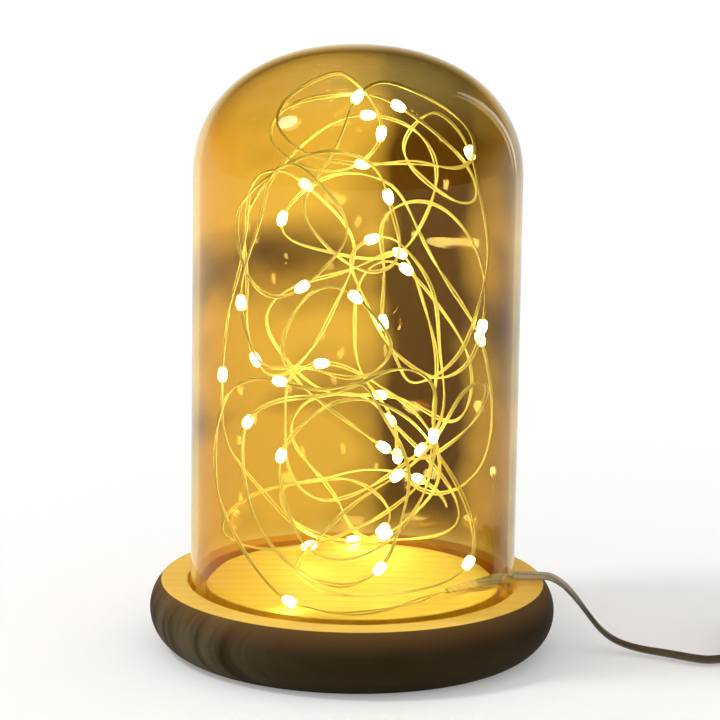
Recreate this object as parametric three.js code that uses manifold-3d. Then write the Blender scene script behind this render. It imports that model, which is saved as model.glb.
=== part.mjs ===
// A glass dome light. A glass bell stands in the groove of a turned wooden base. A string of small lights on
// thin twin wire lies in loops inside it, and its lead leaves through a notch in the rim of the glass.
// Millimetres, +Z up. The origin is the middle of the underside of the base, and the lead leaves towards +X.
import * as THREE from "three";
import { mergeVertices } from "three/addons/utils/BufferGeometryUtils.js";
import Module from "manifold-3d";

// Glass bell
const GLASS_RADIUS = 50;
const GLASS_WALL = 2.2;
const GLASS_HEIGHT = 169;
const CROWN_HEIGHT = 40;
const CROWN_POWER = 2.2;
const RIM_CHAMFER = 0.6;
const GLASS_SEGMENTS = 48;
const CROWN_STEPS = 9;

// Wooden base
const BASE_HEIGHT = 20;
const BASE_LEDGE = 8.2;
const BASE_BULGE = 3.5;
const BASE_BELLY_HEIGHT = 11.5;
const BASE_FOOT_INSET = 7.5;
const BASE_SEGMENTS = 48;
const BASE_ARC_STEPS = 5;
const GROOVE_DEPTH = 4;
const GROOVE_OUTER_ROOM = 0.8;
const GROOVE_INNER_ROOM = 3.2;
const RIM_GAP = 0.3;

// Light string: the wire, and the loops that it lies in
const WIRE_DIAMETER = 1;
const WIRE_SIDES = 6;
const WIRE_TO_GLASS = 2.6;
const LOOP_STEPS = 24;
const LOOP_FIELD_RADIUS = 45;
const LOOP_FIELD_HEIGHT = 160;
const LOOP_SWING = 0.6;
const DEPTH_FRONT = -0.85;
const DEPTH_BACK = 0.85;
const WAVE_ACROSS = 0.07;
const WAVE_UP = 0.06;
const WAVE_WIDTH = 60;
const WAVE_HEIGHT = 90;
// Ripples that leave the loops uneven: size, length, and how far each ripple moves on in one turn, in radians
const RIPPLES_ACROSS = [
  [5.3, 83, 1.28],
  [1.8, 38, 1.46],
];
const RIPPLES_UP = [
  [4.2, 60, -0.65],
  [1.04, 30.63, 0.6],
];
// One row for each loop, front to back: middle across, middle above the wood, half width, half height, turns
const STRING_LOOPS = [
  [-14, 38.5, 28, 36, 0.5],
  [-7, 40.5, 25, 32, 0.94],
  [3, 45, 23, 30, 1.17],
  [14, 12, 26, 9.5, 0.9],
  [18.5, 62, 20.5, 16, 0.78],
  [-11, 80, 21.5, 13, 1.08],
  [-25, 113, 20, 20.5, 0.63],
  [-18, 110, 17, 17, 0.62],
  [4.5, 121.5, 15, 25.5, 0.77],
  [7.5, 141.5, 26, 14.5, 0.74],
  [-11, 145, 19, 12, 0.63],
  [-8, 141, 17.5, 11.5, 0.87],
  [29, 131, 10, 13.5, 1.13],
  [21.5, 86.5, 17, 28, 1.41],
  [15, 97, 13, 11, 0.58],
  [-1.5, 45, 24.5, 22, 1.09],
  [-16.5, 15.5, 24.5, 11, 1.34],
  [-23.5, 94.5, 17, 30.5, 1.15],
  [3, 118, 23, 24.5, 1.14],
  [24, 57, 18, 34.5, 0.77],
  [17, 60, 20.5, 30, 0.73],
  [0, 79, 25, 16.5, 0.79],
  [8, 38, 23, 35, 0.75],
  [3.5, 14, 27.5, 11.5, 1.24],
];
const BEAD_COUNT = 39;
const BEAD_DIAMETER = 3;
const BEAD_LENGTH = 5;
const BEAD_END_SHARE = 0.64;
const BEAD_BORE_GAP = 0.3;
const BEAD_FIRST = 56;
const BEAD_TO_END = 4.5;
const BEAD_SWAY = 12;
const BEAD_SWAY_STEP = 1.1;

// Lead, splice and coil
const LEAD_DIAMETER = 2.8;
const LEAD_SIDES = 8;
const LEAD_STEPS = 60;
const LEAD_REST = 0.3;
const NOTCH_ROOM = 0.6;
const NOTCH_STEPS = 8;
const NOTCH_STRAIGHT = 1;
const NOTCH_APPROACH = 0.6;
const SPLICE_DIAMETER = 2.6;
const SPLICE_LENGTH = 13;
const SPLICE_TAPER = 0.8;
const SPLICE_SIDES = 12;
const END_GAP = 0.3;
const FLOOR_RUN_STEPS = 12;
const FLOOR_RUN_PULL = 16;
const SPLICE_FROM_GLASS = [-14.8, -11.5];
// Lead outside the glass: distance past the widest circle of the base, sideways, height
const LEAD_ROUTE = [
  [-1.5, -0.3, 21.6],
  [2.5, -1, 19.6],
  [5.5, -1.7, 16.8],
  [8.5, -2.6, 13.2],
  [11.5, -3.8, 9.6],
  [14.5, -5.2, 6.4],
  [18, -6.8, 4],
  [22, -8.5, 2.6],
  [27, -10.8, 1.9],
  [33, -13.6, 1.7],
  [38, -16.6, 1.7],
  [42, -19, 1.7],
  [46, -20.3, 1.7],
  [50, -19.4, 1.7],
  [54, -17.6, 1.8],
  [60, -16.7, 2],
  [67, -16.5, 2.3],
];
const COIL_TURNS = 8.25;
const COIL_LAYERS = 4;
const COIL_PITCH = 3.4;
const COIL_INNER_RADIUS = 12.4;
const COIL_SIDES = 6;
const COIL_FROM_BASE = 76.5;
const COIL_SIDEWAYS = 3;
const TAIL_RISE = 0.6;
const TIE_WIDTH = 4;
const TIE_THICKNESS = 0.7;
const TIE_ROOM = 0.45;
const TIE_STEPS = 4;
const TIE_ANGLES = [2.5, 5.2];

// Plug
const PLUG_WIDTH = 15.4;
const PLUG_LENGTH = 21;
const PLUG_THICKNESS = 8.4;
const PLUG_CORNER = 2;
const PLUG_WALL = 1.6;
const PLUG_FROM_COIL = 24;
const PARTING_GAP = 0.2;
const GLAND_LENGTH = 8;
const GLAND_DIAMETER = 6;
const GLAND_TIP_DIAMETER = 4.2;
const GLAND_BORE_GAP = 0.3;
const GLAND_SIDES = 16;
const SHELL_WIDTH = 12;
const SHELL_HEIGHT = 4.5;
const SHELL_WALL = 0.35;
const SHELL_OUT = 11.8;
const SHELL_IN = 5.5;
const SHELL_FIT = 0.25;
const TONGUE_HEIGHT = 1.8;
const TONGUE_SETBACK = 0.6;
const CONTACT_WIDTH = 1;
const CONTACT_HEIGHT = 0.25;
const CONTACT_LENGTHS = [9, 8, 8, 9];
const CONTACT_PITCH = 2.3;
const CONTACT_SETBACK = 1;
const BOARD_SIDE_GAP = 0.4;
const BOARD_LENGTH = 9;
const BOARD_THICKNESS = 0.8;
const BOARD_GAP = 0.5;
const POST_SIZE = 2;
const POST_GAP = 0.2;
const RESISTOR_WIDTH = 2;
const RESISTOR_LENGTH = 1.3;
const RESISTOR_HEIGHT = 0.6;

const wasm = await Module();
wasm.setup();

const v3 = (x, y, z) => new THREE.Vector3(x, y, z);
const v2 = (x, y) => new THREE.Vector2(x, y);

const innerRadius = GLASS_RADIUS - GLASS_WALL;
const rimZ = BASE_HEIGHT - GROOVE_DEPTH + RIM_GAP;
const topZ = rimZ + GLASS_HEIGHT;
const shoulderZ = topZ - CROWN_HEIGHT;
const grooveInner = innerRadius - GROOVE_INNER_ROOM;
const grooveOuter = GLASS_RADIUS + GROOVE_OUTER_ROOM;
const baseTopRadius = grooveOuter + BASE_LEDGE;
const baseRadius = baseTopRadius + BASE_BULGE;
const footRadius = baseRadius - BASE_FOOT_INSET;
const leadRadius = LEAD_DIAMETER / 2;
const leadZ = BASE_HEIGHT + LEAD_REST + leadRadius;
const stringTurns = STRING_LOOPS.reduce((sum, row) => sum + row[4], 0);

const wood = new THREE.MeshStandardMaterial({ color: 0x6b4a2a, roughness: 0.6 });
const glass = new THREE.MeshStandardMaterial({ color: 0xe8b860, roughness: 0.05, transparent: true, opacity: 0.3 });
const enamel = new THREE.MeshStandardMaterial({ color: 0xc89a4a, roughness: 0.3, metalness: 1 });
const resin = new THREE.MeshStandardMaterial({ color: 0xfff0cc, roughness: 0.2, emissive: 0xffc870 });
const sleeve = new THREE.MeshStandardMaterial({ color: 0xb9ad8e, roughness: 0.35 });
const flex = new THREE.MeshStandardMaterial({ color: 0x8d846a, roughness: 0.35 });
const tieBlack = new THREE.MeshStandardMaterial({ color: 0x26262a, roughness: 0.6 });
const plugPlastic = new THREE.MeshStandardMaterial({ color: 0xe9e7e0, roughness: 0.45 });
const steel = new THREE.MeshStandardMaterial({ color: 0xc4c6c8, roughness: 0.3, metalness: 1 });
const gold = new THREE.MeshStandardMaterial({ color: 0xd2a44a, roughness: 0.3, metalness: 1 });
const insulator = new THREE.MeshStandardMaterial({ color: 0x2c3036, roughness: 0.5 });
const boardGreen = new THREE.MeshStandardMaterial({ color: 0x2f6b3c, roughness: 0.5 });
const ceramic = new THREE.MeshStandardMaterial({ color: 0x1d1d1f, roughness: 0.4 });

const part = new THREE.Group();

function add(name, geometry, material) {
  const mesh = new THREE.Mesh(geometry, material);
  mesh.name = name;
  part.add(mesh);
}

// A body turned about the Z axis from a profile of radius and height.
function turned(profile, segments) {
  return new THREE.LatheGeometry(profile, segments).rotateX(Math.PI / 2);
}

function toSolid(geometry) {
  const bare = new THREE.BufferGeometry().setAttribute("position", geometry.getAttribute("position"));
  bare.setIndex(geometry.index);
  const merged = mergeVertices(bare, 1e-3);
  const triVerts = new Uint32Array(merged.index.array);
  const vertProperties = merged.attributes.position.array;
  return new wasm.Manifold(new wasm.Mesh({ numProp: 3, vertProperties, triVerts }));
}

function toGeometry(solid) {
  const mesh = solid.getMesh();
  const geometry = new THREE.BufferGeometry();
  geometry.setAttribute("position", new THREE.BufferAttribute(mesh.vertProperties, mesh.numProp));
  geometry.setIndex(new THREE.BufferAttribute(mesh.triVerts, 1));
  return geometry;
}

// Points on a quarter-like arc that leaves a widest circle upright and ends at another radius and height.
function bullnose(radius, z, endRadius, endZ, steps) {
  const inward = radius - endRadius;
  const rise = endZ - z;
  const curve = (inward * inward + rise * rise) / (2 * inward);
  const sweep = Math.asin(rise / curve);
  const points = [];
  for (let i = 0; i <= steps; i++) {
    const angle = (sweep * i) / steps;
    points.push(v2(radius - curve + curve * Math.cos(angle), z + curve * Math.sin(angle)));
  }
  return points;
}

function woodBase() {
  const lower = bullnose(baseRadius, BASE_BELLY_HEIGHT, footRadius, 0, BASE_ARC_STEPS).reverse();
  const upper = bullnose(baseRadius, BASE_BELLY_HEIGHT, baseTopRadius, BASE_HEIGHT, BASE_ARC_STEPS).slice(1);
  const floorZ = BASE_HEIGHT - GROOVE_DEPTH;
  const groove = [v2(grooveOuter, BASE_HEIGHT), v2(grooveOuter, floorZ)];
  const disc = [v2(grooveInner, floorZ), v2(grooveInner, BASE_HEIGHT), v2(0, BASE_HEIGHT)];
  return turned([v2(0, 0), ...lower, ...upper, ...groove, ...disc], BASE_SEGMENTS);
}

// Points of a crown from its shoulder to its top: a circle flattened by a power.
function crown(radius, height) {
  const points = [];
  for (let i = 0; i < CROWN_STEPS; i++) {
    const angle = (Math.PI / 2) * (i / CROWN_STEPS);
    const share = 2 / CROWN_POWER;
    points.push(v2(radius * Math.cos(angle) ** share, shoulderZ + height * Math.sin(angle) ** share));
  }
  points.push(v2(0, shoulderZ + height));
  return points;
}

function glassDome() {
  const inner = crown(innerRadius, CROWN_HEIGHT - GLASS_WALL).reverse();
  const rim = [
    v2(innerRadius, rimZ + RIM_CHAMFER),
    v2(innerRadius + RIM_CHAMFER, rimZ),
    v2(GLASS_RADIUS - RIM_CHAMFER, rimZ),
    v2(GLASS_RADIUS, rimZ + RIM_CHAMFER),
  ];
  const bell = turned([...inner, ...rim, ...crown(GLASS_RADIUS, CROWN_HEIGHT)], GLASS_SEGMENTS);
  return toGeometry(toSolid(bell).subtract(toSolid(notch())));
}

// The round-topped notch that lets the lead pass under the rim, as a bar through the wall.
function notch() {
  const half = leadRadius + NOTCH_ROOM;
  const below = rimZ - GLASS_WALL;
  const shape = new THREE.Shape([v2(-half, below), v2(half, below)]);
  shape.absarc(0, leadZ, half, 0, Math.PI, false);
  const depth = GLASS_WALL * 4;
  const bar = new THREE.ExtrudeGeometry(shape, { depth, bevelEnabled: false, curveSegments: NOTCH_STEPS });
  bar.rotateX(Math.PI / 2).rotateZ(Math.PI / 2);
  return bar.translate(GLASS_RADIUS - GLASS_WALL * 2.5, 0, 0);
}

// Frames along a line of points: the way along it, and two ways across it that turn as little as they can.
function framesAlong(points) {
  const last = points.length - 1;
  const frames = [];
  let across = v3(0.31, 0.42, 0.85);
  for (let i = 0; i <= last; i++) {
    const after = points[Math.min(i + 1, last)];
    const along = after.clone().sub(points[Math.max(i - 1, 0)]).normalize();
    across = across.clone().addScaledVector(along, -across.dot(along)).normalize();
    frames.push({ along, across, up: along.clone().cross(across) });
  }
  return frames;
}

function ringAt(point, frame, radius, sides) {
  const ring = [];
  for (let k = 0; k < sides; k++) {
    const angle = (2 * Math.PI * k) / sides;
    const spoke = frame.across.clone().multiplyScalar(Math.cos(angle)).addScaledVector(frame.up, Math.sin(angle));
    ring.push(point.clone().addScaledVector(spoke, radius));
  }
  return ring;
}

// The surface through a list of rings, each joined to the next. A closed list joins its last ring to its first,
// and an open one ends in two caps.
function skin(rings, closed) {
  const sides = rings[0].length;
  const points = rings.flat();
  const index = [];
  const spans = closed ? rings.length : rings.length - 1;
  for (let i = 0; i < spans; i++) {
    const a = i * sides;
    const b = ((i + 1) % rings.length) * sides;
    for (let k = 0; k < sides; k++) {
      const n = (k + 1) % sides;
      index.push(a + k, a + n, b + n, a + k, b + n, b + k);
    }
  }
  for (let k = 1; !closed && k < sides - 1; k++) {
    const end = (rings.length - 1) * sides;
    index.push(0, k + 1, k, end, end + k, end + k + 1);
  }
  return new THREE.BufferGeometry().setFromPoints(points).setIndex(index);
}

function tube(points, diameter, sides) {
  const frames = framesAlong(points);
  return skin(points.map((point, i) => ringAt(point, frames[i], diameter / 2, sides)), false);
}

// The least clear distance between a tube's surface and its own surface further along, from points on its line.
function leastGap(points, diameter) {
  const lengths = lengthsAlong(points);
  let least = Infinity;
  for (let i = 0; i < points.length; i++) {
    for (let k = i + 1; k < points.length; k++) {
      const reach = lengths[k] - lengths[i];
      const near = points[i].distanceTo(points[k]);
      if (reach > 4 * diameter && near < 0.7 * reach) {
        least = Math.min(least, segmentsApart(points, i, k));
      }
    }
  }
  return least - diameter;
}

function segmentsApart(points, i, k) {
  const a = new THREE.Line3(points[i], points[Math.min(i + 1, points.length - 1)]);
  const b = new THREE.Line3(points[k], points[Math.min(k + 1, points.length - 1)]);
  let least = Infinity;
  for (let s = 0; s <= 4; s++) {
    const on = a.at(s / 4, v3(0, 0, 0));
    least = Math.min(least, b.closestPointToPoint(on, true, v3(0, 0, 0)).distanceTo(on));
  }
  return least;
}

function lengthsAlong(points) {
  const lengths = [0];
  for (let i = 1; i < points.length; i++) {
    lengths.push(lengths[i - 1] + points[i].distanceTo(points[i - 1]));
  }
  return lengths;
}

const smooth = (share) => share * share * (3 - 2 * share);

// The loop that the wire is on after a number of turns. It holds one row for its turns, then swings to the next.
function loopAt(turn) {
  const loop = STRING_LOOPS[0].slice(0, 4);
  let middle = 0;
  for (let row = 1; row < STRING_LOOPS.length; row++) {
    middle += STRING_LOOPS[row - 1][4];
    const swing = smooth(THREE.MathUtils.clamp((turn - middle) / LOOP_SWING + 0.5, 0, 1));
    loop.forEach((size, i) => {
      loop[i] = size + (STRING_LOOPS[row][i] - STRING_LOOPS[row - 1][i]) * swing;
    });
  }
  return loop;
}

// The radius inside the glass that is free for the wire at a height.
function clearRadius(z) {
  const rise = Math.max(0, (z - shoulderZ) / (CROWN_HEIGHT - GLASS_WALL - WIRE_TO_GLASS));
  return (innerRadius - WIRE_TO_GLASS) * Math.max(0, 1 - rise ** CROWN_POWER) ** (1 / CROWN_POWER);
}

// The sum of some ripples at a place along them, after a number of turns.
function rippled(ripples, place, turn) {
  let sum = 0;
  ripples.forEach(([size, length, drift]) => {
    sum += size * Math.sin((2 * Math.PI * place) / length + drift * turn);
  });
  return sum;
}

// A point of the string's loops. Each loop is an oval that ripples push out of true, less so near the glass, and
// it lies further back than the one before it, so no two of them touch.
function stringPoint(turn) {
  const [middle, height, halfWidth, halfHeight] = loopAt(turn);
  const angle = -Math.PI / 2 - 2 * Math.PI * turn;
  const ovalAcross = middle + halfWidth * Math.cos(angle);
  const ovalUp = height + halfHeight * Math.sin(angle);
  const fadeAcross = Math.max(0, 1 - (ovalAcross / LOOP_FIELD_RADIUS) ** 2);
  const fadeUp = Math.max(0, 1 - ((2 * ovalUp) / LOOP_FIELD_HEIGHT - 1) ** 2);
  const across = ovalAcross + fadeAcross * rippled(RIPPLES_ACROSS, ovalUp, turn);
  const up = ovalUp + fadeUp * rippled(RIPPLES_UP, ovalAcross, turn);
  const room = topZ - GLASS_WALL - WIRE_TO_GLASS - BASE_HEIGHT;
  const z = BASE_HEIGHT + up * (room / LOOP_FIELD_HEIGHT);
  const radius = clearRadius(z);
  const x = (across / LOOP_FIELD_RADIUS) * radius;
  const wave = WAVE_ACROSS * Math.sin((2 * Math.PI * across) / WAVE_WIDTH);
  const sway = WAVE_UP * Math.sin((2 * Math.PI * up) / WAVE_HEIGHT);
  const depth = DEPTH_FRONT + ((DEPTH_BACK - DEPTH_FRONT) * turn) / stringTurns;
  const y = Math.sqrt(Math.max(0, radius * radius - x * x)) * (depth + wave + sway);
  return v3(x, y, z);
}

const spliceMiddle = v3(innerRadius + SPLICE_FROM_GLASS[0], SPLICE_FROM_GLASS[1], 0);
spliceMiddle.z = BASE_HEIGHT + LEAD_REST + SPLICE_DIAMETER / 2;
const spliceWay = v3(-Math.SQRT1_2, -Math.SQRT1_2, 0);
const spliceOut = spliceMiddle.clone().addScaledVector(spliceWay, -SPLICE_LENGTH / 2);
const spliceIn = spliceMiddle.clone().addScaledVector(spliceWay, SPLICE_LENGTH / 2);

// The whole line of the string: straight out of the splice, over the wood to the front, then round its loops.
function stringLine() {
  const start = spliceIn.clone().addScaledVector(spliceWay, END_GAP);
  const straight = start.clone().addScaledVector(spliceWay, WIRE_DIAMETER);
  const loops = [];
  const count = Math.round(stringTurns * LOOP_STEPS);
  for (let i = 0; i <= count; i++) {
    loops.push(stringPoint((stringTurns * i) / count));
  }
  const arrive = loops[0].clone().sub(loops[1]).normalize();
  const leave = straight.clone().addScaledVector(spliceWay, FLOOR_RUN_PULL);
  leave.z = BASE_HEIGHT + LEAD_REST + WIRE_DIAMETER / 2;
  const reach = loops[0].clone().addScaledVector(arrive, FLOOR_RUN_PULL);
  const floorRun = new THREE.CubicBezierCurve3(straight, leave, reach, loops[0]).getPoints(FLOOR_RUN_STEPS);
  return [start, ...floorRun, ...loops.slice(1)];
}

// The point, and the frame across it, at a length along a line of points.
function stationAt(points, frames, lengths, length) {
  const next = lengths.findIndex((value) => value > length);
  const share = (length - lengths[next - 1]) / (lengths[next] - lengths[next - 1]);
  const point = points[next - 1].clone().lerp(points[next], share);
  const along = points[next].clone().sub(points[next - 1]).normalize();
  const across = frames[next].across.clone();
  across.addScaledVector(along, -across.dot(along)).normalize();
  return { point, frame: { along, across, up: along.clone().cross(across) } };
}

// A light drop that follows the wire through it: rings of its outside forward, rings of its bore back.
function bead(points, frames, lengths, middle) {
  const half = BEAD_LENGTH / 2;
  const stations = [-half, 0, half].map((reach) => ({ reach, ...stationAt(points, frames, lengths, middle + reach) }));
  lengths.forEach((length, i) => {
    const reach = length - middle;
    if (Math.abs(reach) < half) {
      stations.push({ reach, point: points[i], frame: frames[i] });
    }
  });
  stations.sort((a, b) => a.reach - b.reach);
  const spaced = stations.filter((s, i) => i === 0 || s.reach - stations[i - 1].reach > 0.05);
  const bore = WIRE_DIAMETER / 2 + BEAD_BORE_GAP;
  const outside = spaced.map((s) => {
    const fall = (s.reach / half) ** 2 * (1 - BEAD_END_SHARE ** 2);
    return ringAt(s.point, s.frame, (BEAD_DIAMETER / 2) * Math.sqrt(1 - fall), WIRE_SIDES);
  });
  const inside = spaced.map((s) => ringAt(s.point, s.frame, bore, WIRE_SIDES)).reverse();
  return skin([...outside, ...inside], true);
}

// The wire and its drops, which sit about one pitch apart, a little to and fro.
function addString() {
  const points = stringLine();
  const frames = framesAlong(points);
  const lengths = lengthsAlong(points);
  add("string_wire", tube(points, WIRE_DIAMETER, WIRE_SIDES), enamel);
  const lastBead = lengths[lengths.length - 1] - BEAD_TO_END;
  const pitch = (lastBead - BEAD_FIRST) / (BEAD_COUNT - 1);
  for (let i = 0; i < BEAD_COUNT; i++) {
    const name = "led_bead_" + String(i + 1).padStart(2, "0");
    const middle = BEAD_FIRST + pitch * i + BEAD_SWAY * Math.sin(BEAD_SWAY_STEP * i);
    add(name, bead(points, frames, lengths, middle), resin);
  }
  console.log("string wire length", lengths[lengths.length - 1].toFixed(0), "bead pitch", pitch.toFixed(1));
  console.log("string wire least gap to itself", leastGap(points, WIRE_DIAMETER).toFixed(2));
}

function spliceSleeve() {
  const radius = SPLICE_DIAMETER / 2;
  const profile = [
    v2(0, 0),
    v2(radius - SPLICE_TAPER / 2, 0),
    v2(radius, SPLICE_TAPER),
    v2(radius, SPLICE_LENGTH - SPLICE_TAPER),
    v2(radius - SPLICE_TAPER / 2, SPLICE_LENGTH),
    v2(0, SPLICE_LENGTH),
  ];
  const body = turned(profile, SPLICE_SIDES);
  const turn = new THREE.Quaternion().setFromUnitVectors(v3(0, 0, 1), spliceWay);
  return body.applyQuaternion(turn).translate(spliceOut.x, spliceOut.y, spliceOut.z);
}

const coilX = baseRadius + COIL_FROM_BASE;
const layerTurns = COIL_TURNS / COIL_LAYERS;
const coilOuterRadius = COIL_INNER_RADIUS + COIL_PITCH * layerTurns;
const coilZ = TIE_THICKNESS + TIE_ROOM + leadRadius;
const coilTopZ = coilZ + COIL_PITCH * (COIL_LAYERS - 1);

// A point of the coil after a number of turns. It spirals in and out by turns, and climbs to the next layer in
// the half turn where the spiral reverses.
function coilPoint(turn) {
  const layer = Math.min(Math.floor(turn / layerTurns), COIL_LAYERS - 1);
  const within = turn - layer * layerTurns;
  const inwards = layer % 2 === 0;
  const radius = inwards ? coilOuterRadius - COIL_PITCH * within : COIL_INNER_RADIUS + COIL_PITCH * within;
  let z = coilZ + COIL_PITCH * layer;
  if (within < 0.25 && layer > 0) {
    z -= COIL_PITCH * (1 - smooth(0.5 + within * 2));
  }
  if (within > layerTurns - 0.25 && layer < COIL_LAYERS - 1) {
    z += COIL_PITCH * smooth(0.5 - (layerTurns - within) * 2);
  }
  const angle = -Math.PI / 2 + 2 * Math.PI * turn;
  return v3(coilX + radius * Math.cos(angle), COIL_SIDEWAYS + radius * Math.sin(angle), z);
}

function coilLine() {
  const points = [];
  const count = Math.round(COIL_TURNS * LOOP_STEPS);
  for (let i = 0; i <= count; i++) {
    points.push(coilPoint((COIL_TURNS * i) / count));
  }
  return straightEnds(points, LEAD_DIAMETER);
}

// Adds a straight piece of one diameter to each end of a line of points.
function straightEnds(points, diameter) {
  const last = points.length - 1;
  const first = points[0].clone().sub(points[1]).normalize();
  const end = points[last].clone().sub(points[last - 1]).normalize();
  const before = points[0].clone().addScaledVector(first, diameter);
  const after = points[last].clone().addScaledVector(end, diameter);
  return [before, ...points, after];
}

// A lead stretch as a tube along a smooth line through its points.
function leadTube(points) {
  const section = new THREE.Shape();
  section.setFromPoints(ringAt(v3(0, 0, 0), flatFrame, leadRadius, LEAD_SIDES).map((p) => v2(p.x, p.y)));
  const extrudePath = new THREE.CatmullRomCurve3(points, false, "centripetal");
  const length = extrudePath.getLength();
  const steps = Math.max(8, Math.round((LEAD_STEPS * length) / 150));
  return new THREE.ExtrudeGeometry(section, { extrudePath, steps, bevelEnabled: false });
}

const flatFrame = { across: v3(1, 0, 0), up: v3(0, 1, 0) };

const coil = coilLine();
const plugX = coil[coil.length - 1].x;
const plugZ = PLUG_THICKNESS / 2;
const plugY = COIL_SIDEWAYS + PLUG_FROM_COIL;

function leadRunLine() {
  const inner = spliceOut.clone().addScaledVector(spliceWay, -END_GAP);
  inner.z = spliceMiddle.z;
  const innerStraight = inner.clone().addScaledVector(spliceWay, -LEAD_DIAMETER);
  const inside = v3(innerRadius - LEAD_DIAMETER * 1.25, -NOTCH_APPROACH, leadZ);
  const throughNotch = [v3(innerRadius - NOTCH_STRAIGHT, 0, leadZ), v3(GLASS_RADIUS + NOTCH_STRAIGHT, 0, leadZ)];
  throughNotch.push(v3(baseTopRadius - LEAD_DIAMETER, 0, leadZ));
  const outside = LEAD_ROUTE.map(([past, sideways, z]) => v3(baseRadius + past, sideways, z));
  const arrive = coil[0].clone().sub(coil[1]).normalize();
  const end = coil[0].clone().addScaledVector(arrive, END_GAP);
  const endStraight = end.clone().addScaledVector(arrive, LEAD_DIAMETER);
  return [inner, innerStraight, inside, ...throughNotch, ...outside, endStraight, end];
}

function leadTailLine() {
  const last = coil.length - 1;
  const leave = coil[last].clone().sub(coil[last - 1]).normalize();
  const start = coil[last].clone().addScaledVector(leave, END_GAP);
  const startStraight = start.clone().addScaledVector(leave, LEAD_DIAMETER);
  const entry = v3(plugX, plugY - GLAND_LENGTH - LEAD_DIAMETER, plugZ);
  const end = v3(plugX, plugY - END_GAP, plugZ);
  const fallEnd = v3(plugX, entry.y - LEAD_DIAMETER, plugZ + TAIL_RISE);
  return [start, startStraight, fallEnd, entry, end];
}

function addLead() {
  add("splice_sleeve", spliceSleeve(), sleeve);
  add("lead_run", leadTube(leadRunLine()), flex);
  add("lead_coil", tube(coil, LEAD_DIAMETER, COIL_SIDES), flex);
  add("lead_tail", leadTube(leadTailLine()), flex);
  TIE_ANGLES.forEach((angle, i) => add("coil_tie_" + (i + 1), coilTie(angle), tieBlack));
  console.log("lead coil least gap to itself", leastGap(coil, LEAD_DIAMETER).toFixed(2));
}

// A rounded rectangle with its middle at the origin.
function roundedRect(width, height, corner) {
  const x = width / 2;
  const y = height / 2;
  const shape = new THREE.Shape();
  shape.moveTo(-x + corner, -y);
  shape.absarc(x - corner, -y + corner, corner, -Math.PI / 2, 0, false);
  shape.absarc(x - corner, y - corner, corner, 0, Math.PI / 2, false);
  shape.absarc(-x + corner, y - corner, corner, Math.PI / 2, Math.PI, false);
  shape.absarc(-x + corner, -y + corner, corner, Math.PI, Math.PI * 1.5, false);
  return shape;
}

// A band around the piled turns of the coil at one angle.
function coilTie(angle) {
  const room = leadRadius + TIE_ROOM;
  const width = coilOuterRadius - COIL_INNER_RADIUS + 2 * room;
  const height = coilTopZ - coilZ + 2 * room;
  const band = roundedRect(width + 2 * TIE_THICKNESS, height + 2 * TIE_THICKNESS, room + TIE_THICKNESS);
  band.holes.push(roundedRect(width, height, room));
  const options = { depth: TIE_WIDTH, bevelEnabled: false, curveSegments: TIE_STEPS };
  const body = new THREE.ExtrudeGeometry(band, options).translate(0, 0, -TIE_WIDTH / 2).rotateX(Math.PI / 2);
  const middle = (coilOuterRadius + COIL_INNER_RADIUS) / 2;
  const lift = (coilTopZ + coilZ) / 2;
  return body.translate(middle, 0, lift).rotateZ(angle).translate(coilX, COIL_SIDEWAYS, 0);
}

// A bar along the plug's axis from a section, starting at a distance from the back of the plug body.
function plugBar(section, start, length) {
  const options = { depth: length, bevelEnabled: false, curveSegments: TIE_STEPS };
  const bar = new THREE.ExtrudeGeometry(section, options).rotateX(Math.PI / 2).translate(0, length, 0);
  return bar.translate(plugX, plugY + start, plugZ);
}

function block(width, length, height, x, start, z) {
  return new THREE.BoxGeometry(width, length, height).translate(plugX + x, plugY + start + length / 2, plugZ + z);
}

const plugRoomWidth = PLUG_WIDTH - 2 * PLUG_WALL;
const plugRoomHeight = PLUG_THICKNESS - 2 * PLUG_WALL;
const shellStart = PLUG_LENGTH - SHELL_IN;
const boardStart = shellStart - BOARD_GAP - BOARD_LENGTH;

// Half of the plug's body, with room for the board, the shell and the gland. Side 1 is the lower half.
function plugHalf(side) {
  const outer = toSolid(plugBar(roundedRect(PLUG_WIDTH, PLUG_THICKNESS, PLUG_CORNER), 0, PLUG_LENGTH));
  const roomLength = PLUG_LENGTH - 2 * PLUG_WALL;
  const room = toSolid(block(plugRoomWidth, roomLength, plugRoomHeight, 0, PLUG_WALL, 0));
  const mouthWidth = SHELL_WIDTH + 2 * SHELL_FIT;
  const mouthHeight = SHELL_HEIGHT + 2 * SHELL_FIT;
  const mouth = toSolid(block(mouthWidth, 2 * PLUG_WALL, mouthHeight, 0, PLUG_LENGTH - 1.5 * PLUG_WALL, 0));
  const entryWidth = GLAND_DIAMETER + 2 * SHELL_FIT;
  const entry = toSolid(block(entryWidth, 2 * PLUG_WALL, entryWidth, 0, -PLUG_WALL / 2, 0));
  const otherHalf = block(2 * PLUG_WIDTH, 2 * PLUG_LENGTH, PLUG_THICKNESS, 0, -PLUG_LENGTH / 2, 0);
  otherHalf.translate(0, 0, (side * (PLUG_THICKNESS - PARTING_GAP)) / 2);
  const half = outer.subtract(room).subtract(mouth).subtract(entry).subtract(toSolid(otherHalf));
  return toGeometry(side > 0 ? half.add(boardPost(1)).add(boardPost(-1)) : half);
}

// A post that rises from the floor of the lower half and carries the board.
function boardPost(side) {
  const height = (plugRoomHeight - BOARD_THICKNESS) / 2 - POST_GAP;
  const x = (side * (plugRoomWidth - POST_SIZE)) / 2;
  const start = boardStart + (BOARD_LENGTH - POST_SIZE) / 2;
  return toSolid(block(POST_SIZE, POST_SIZE, height, x, start, (height - plugRoomHeight) / 2));
}

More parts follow.
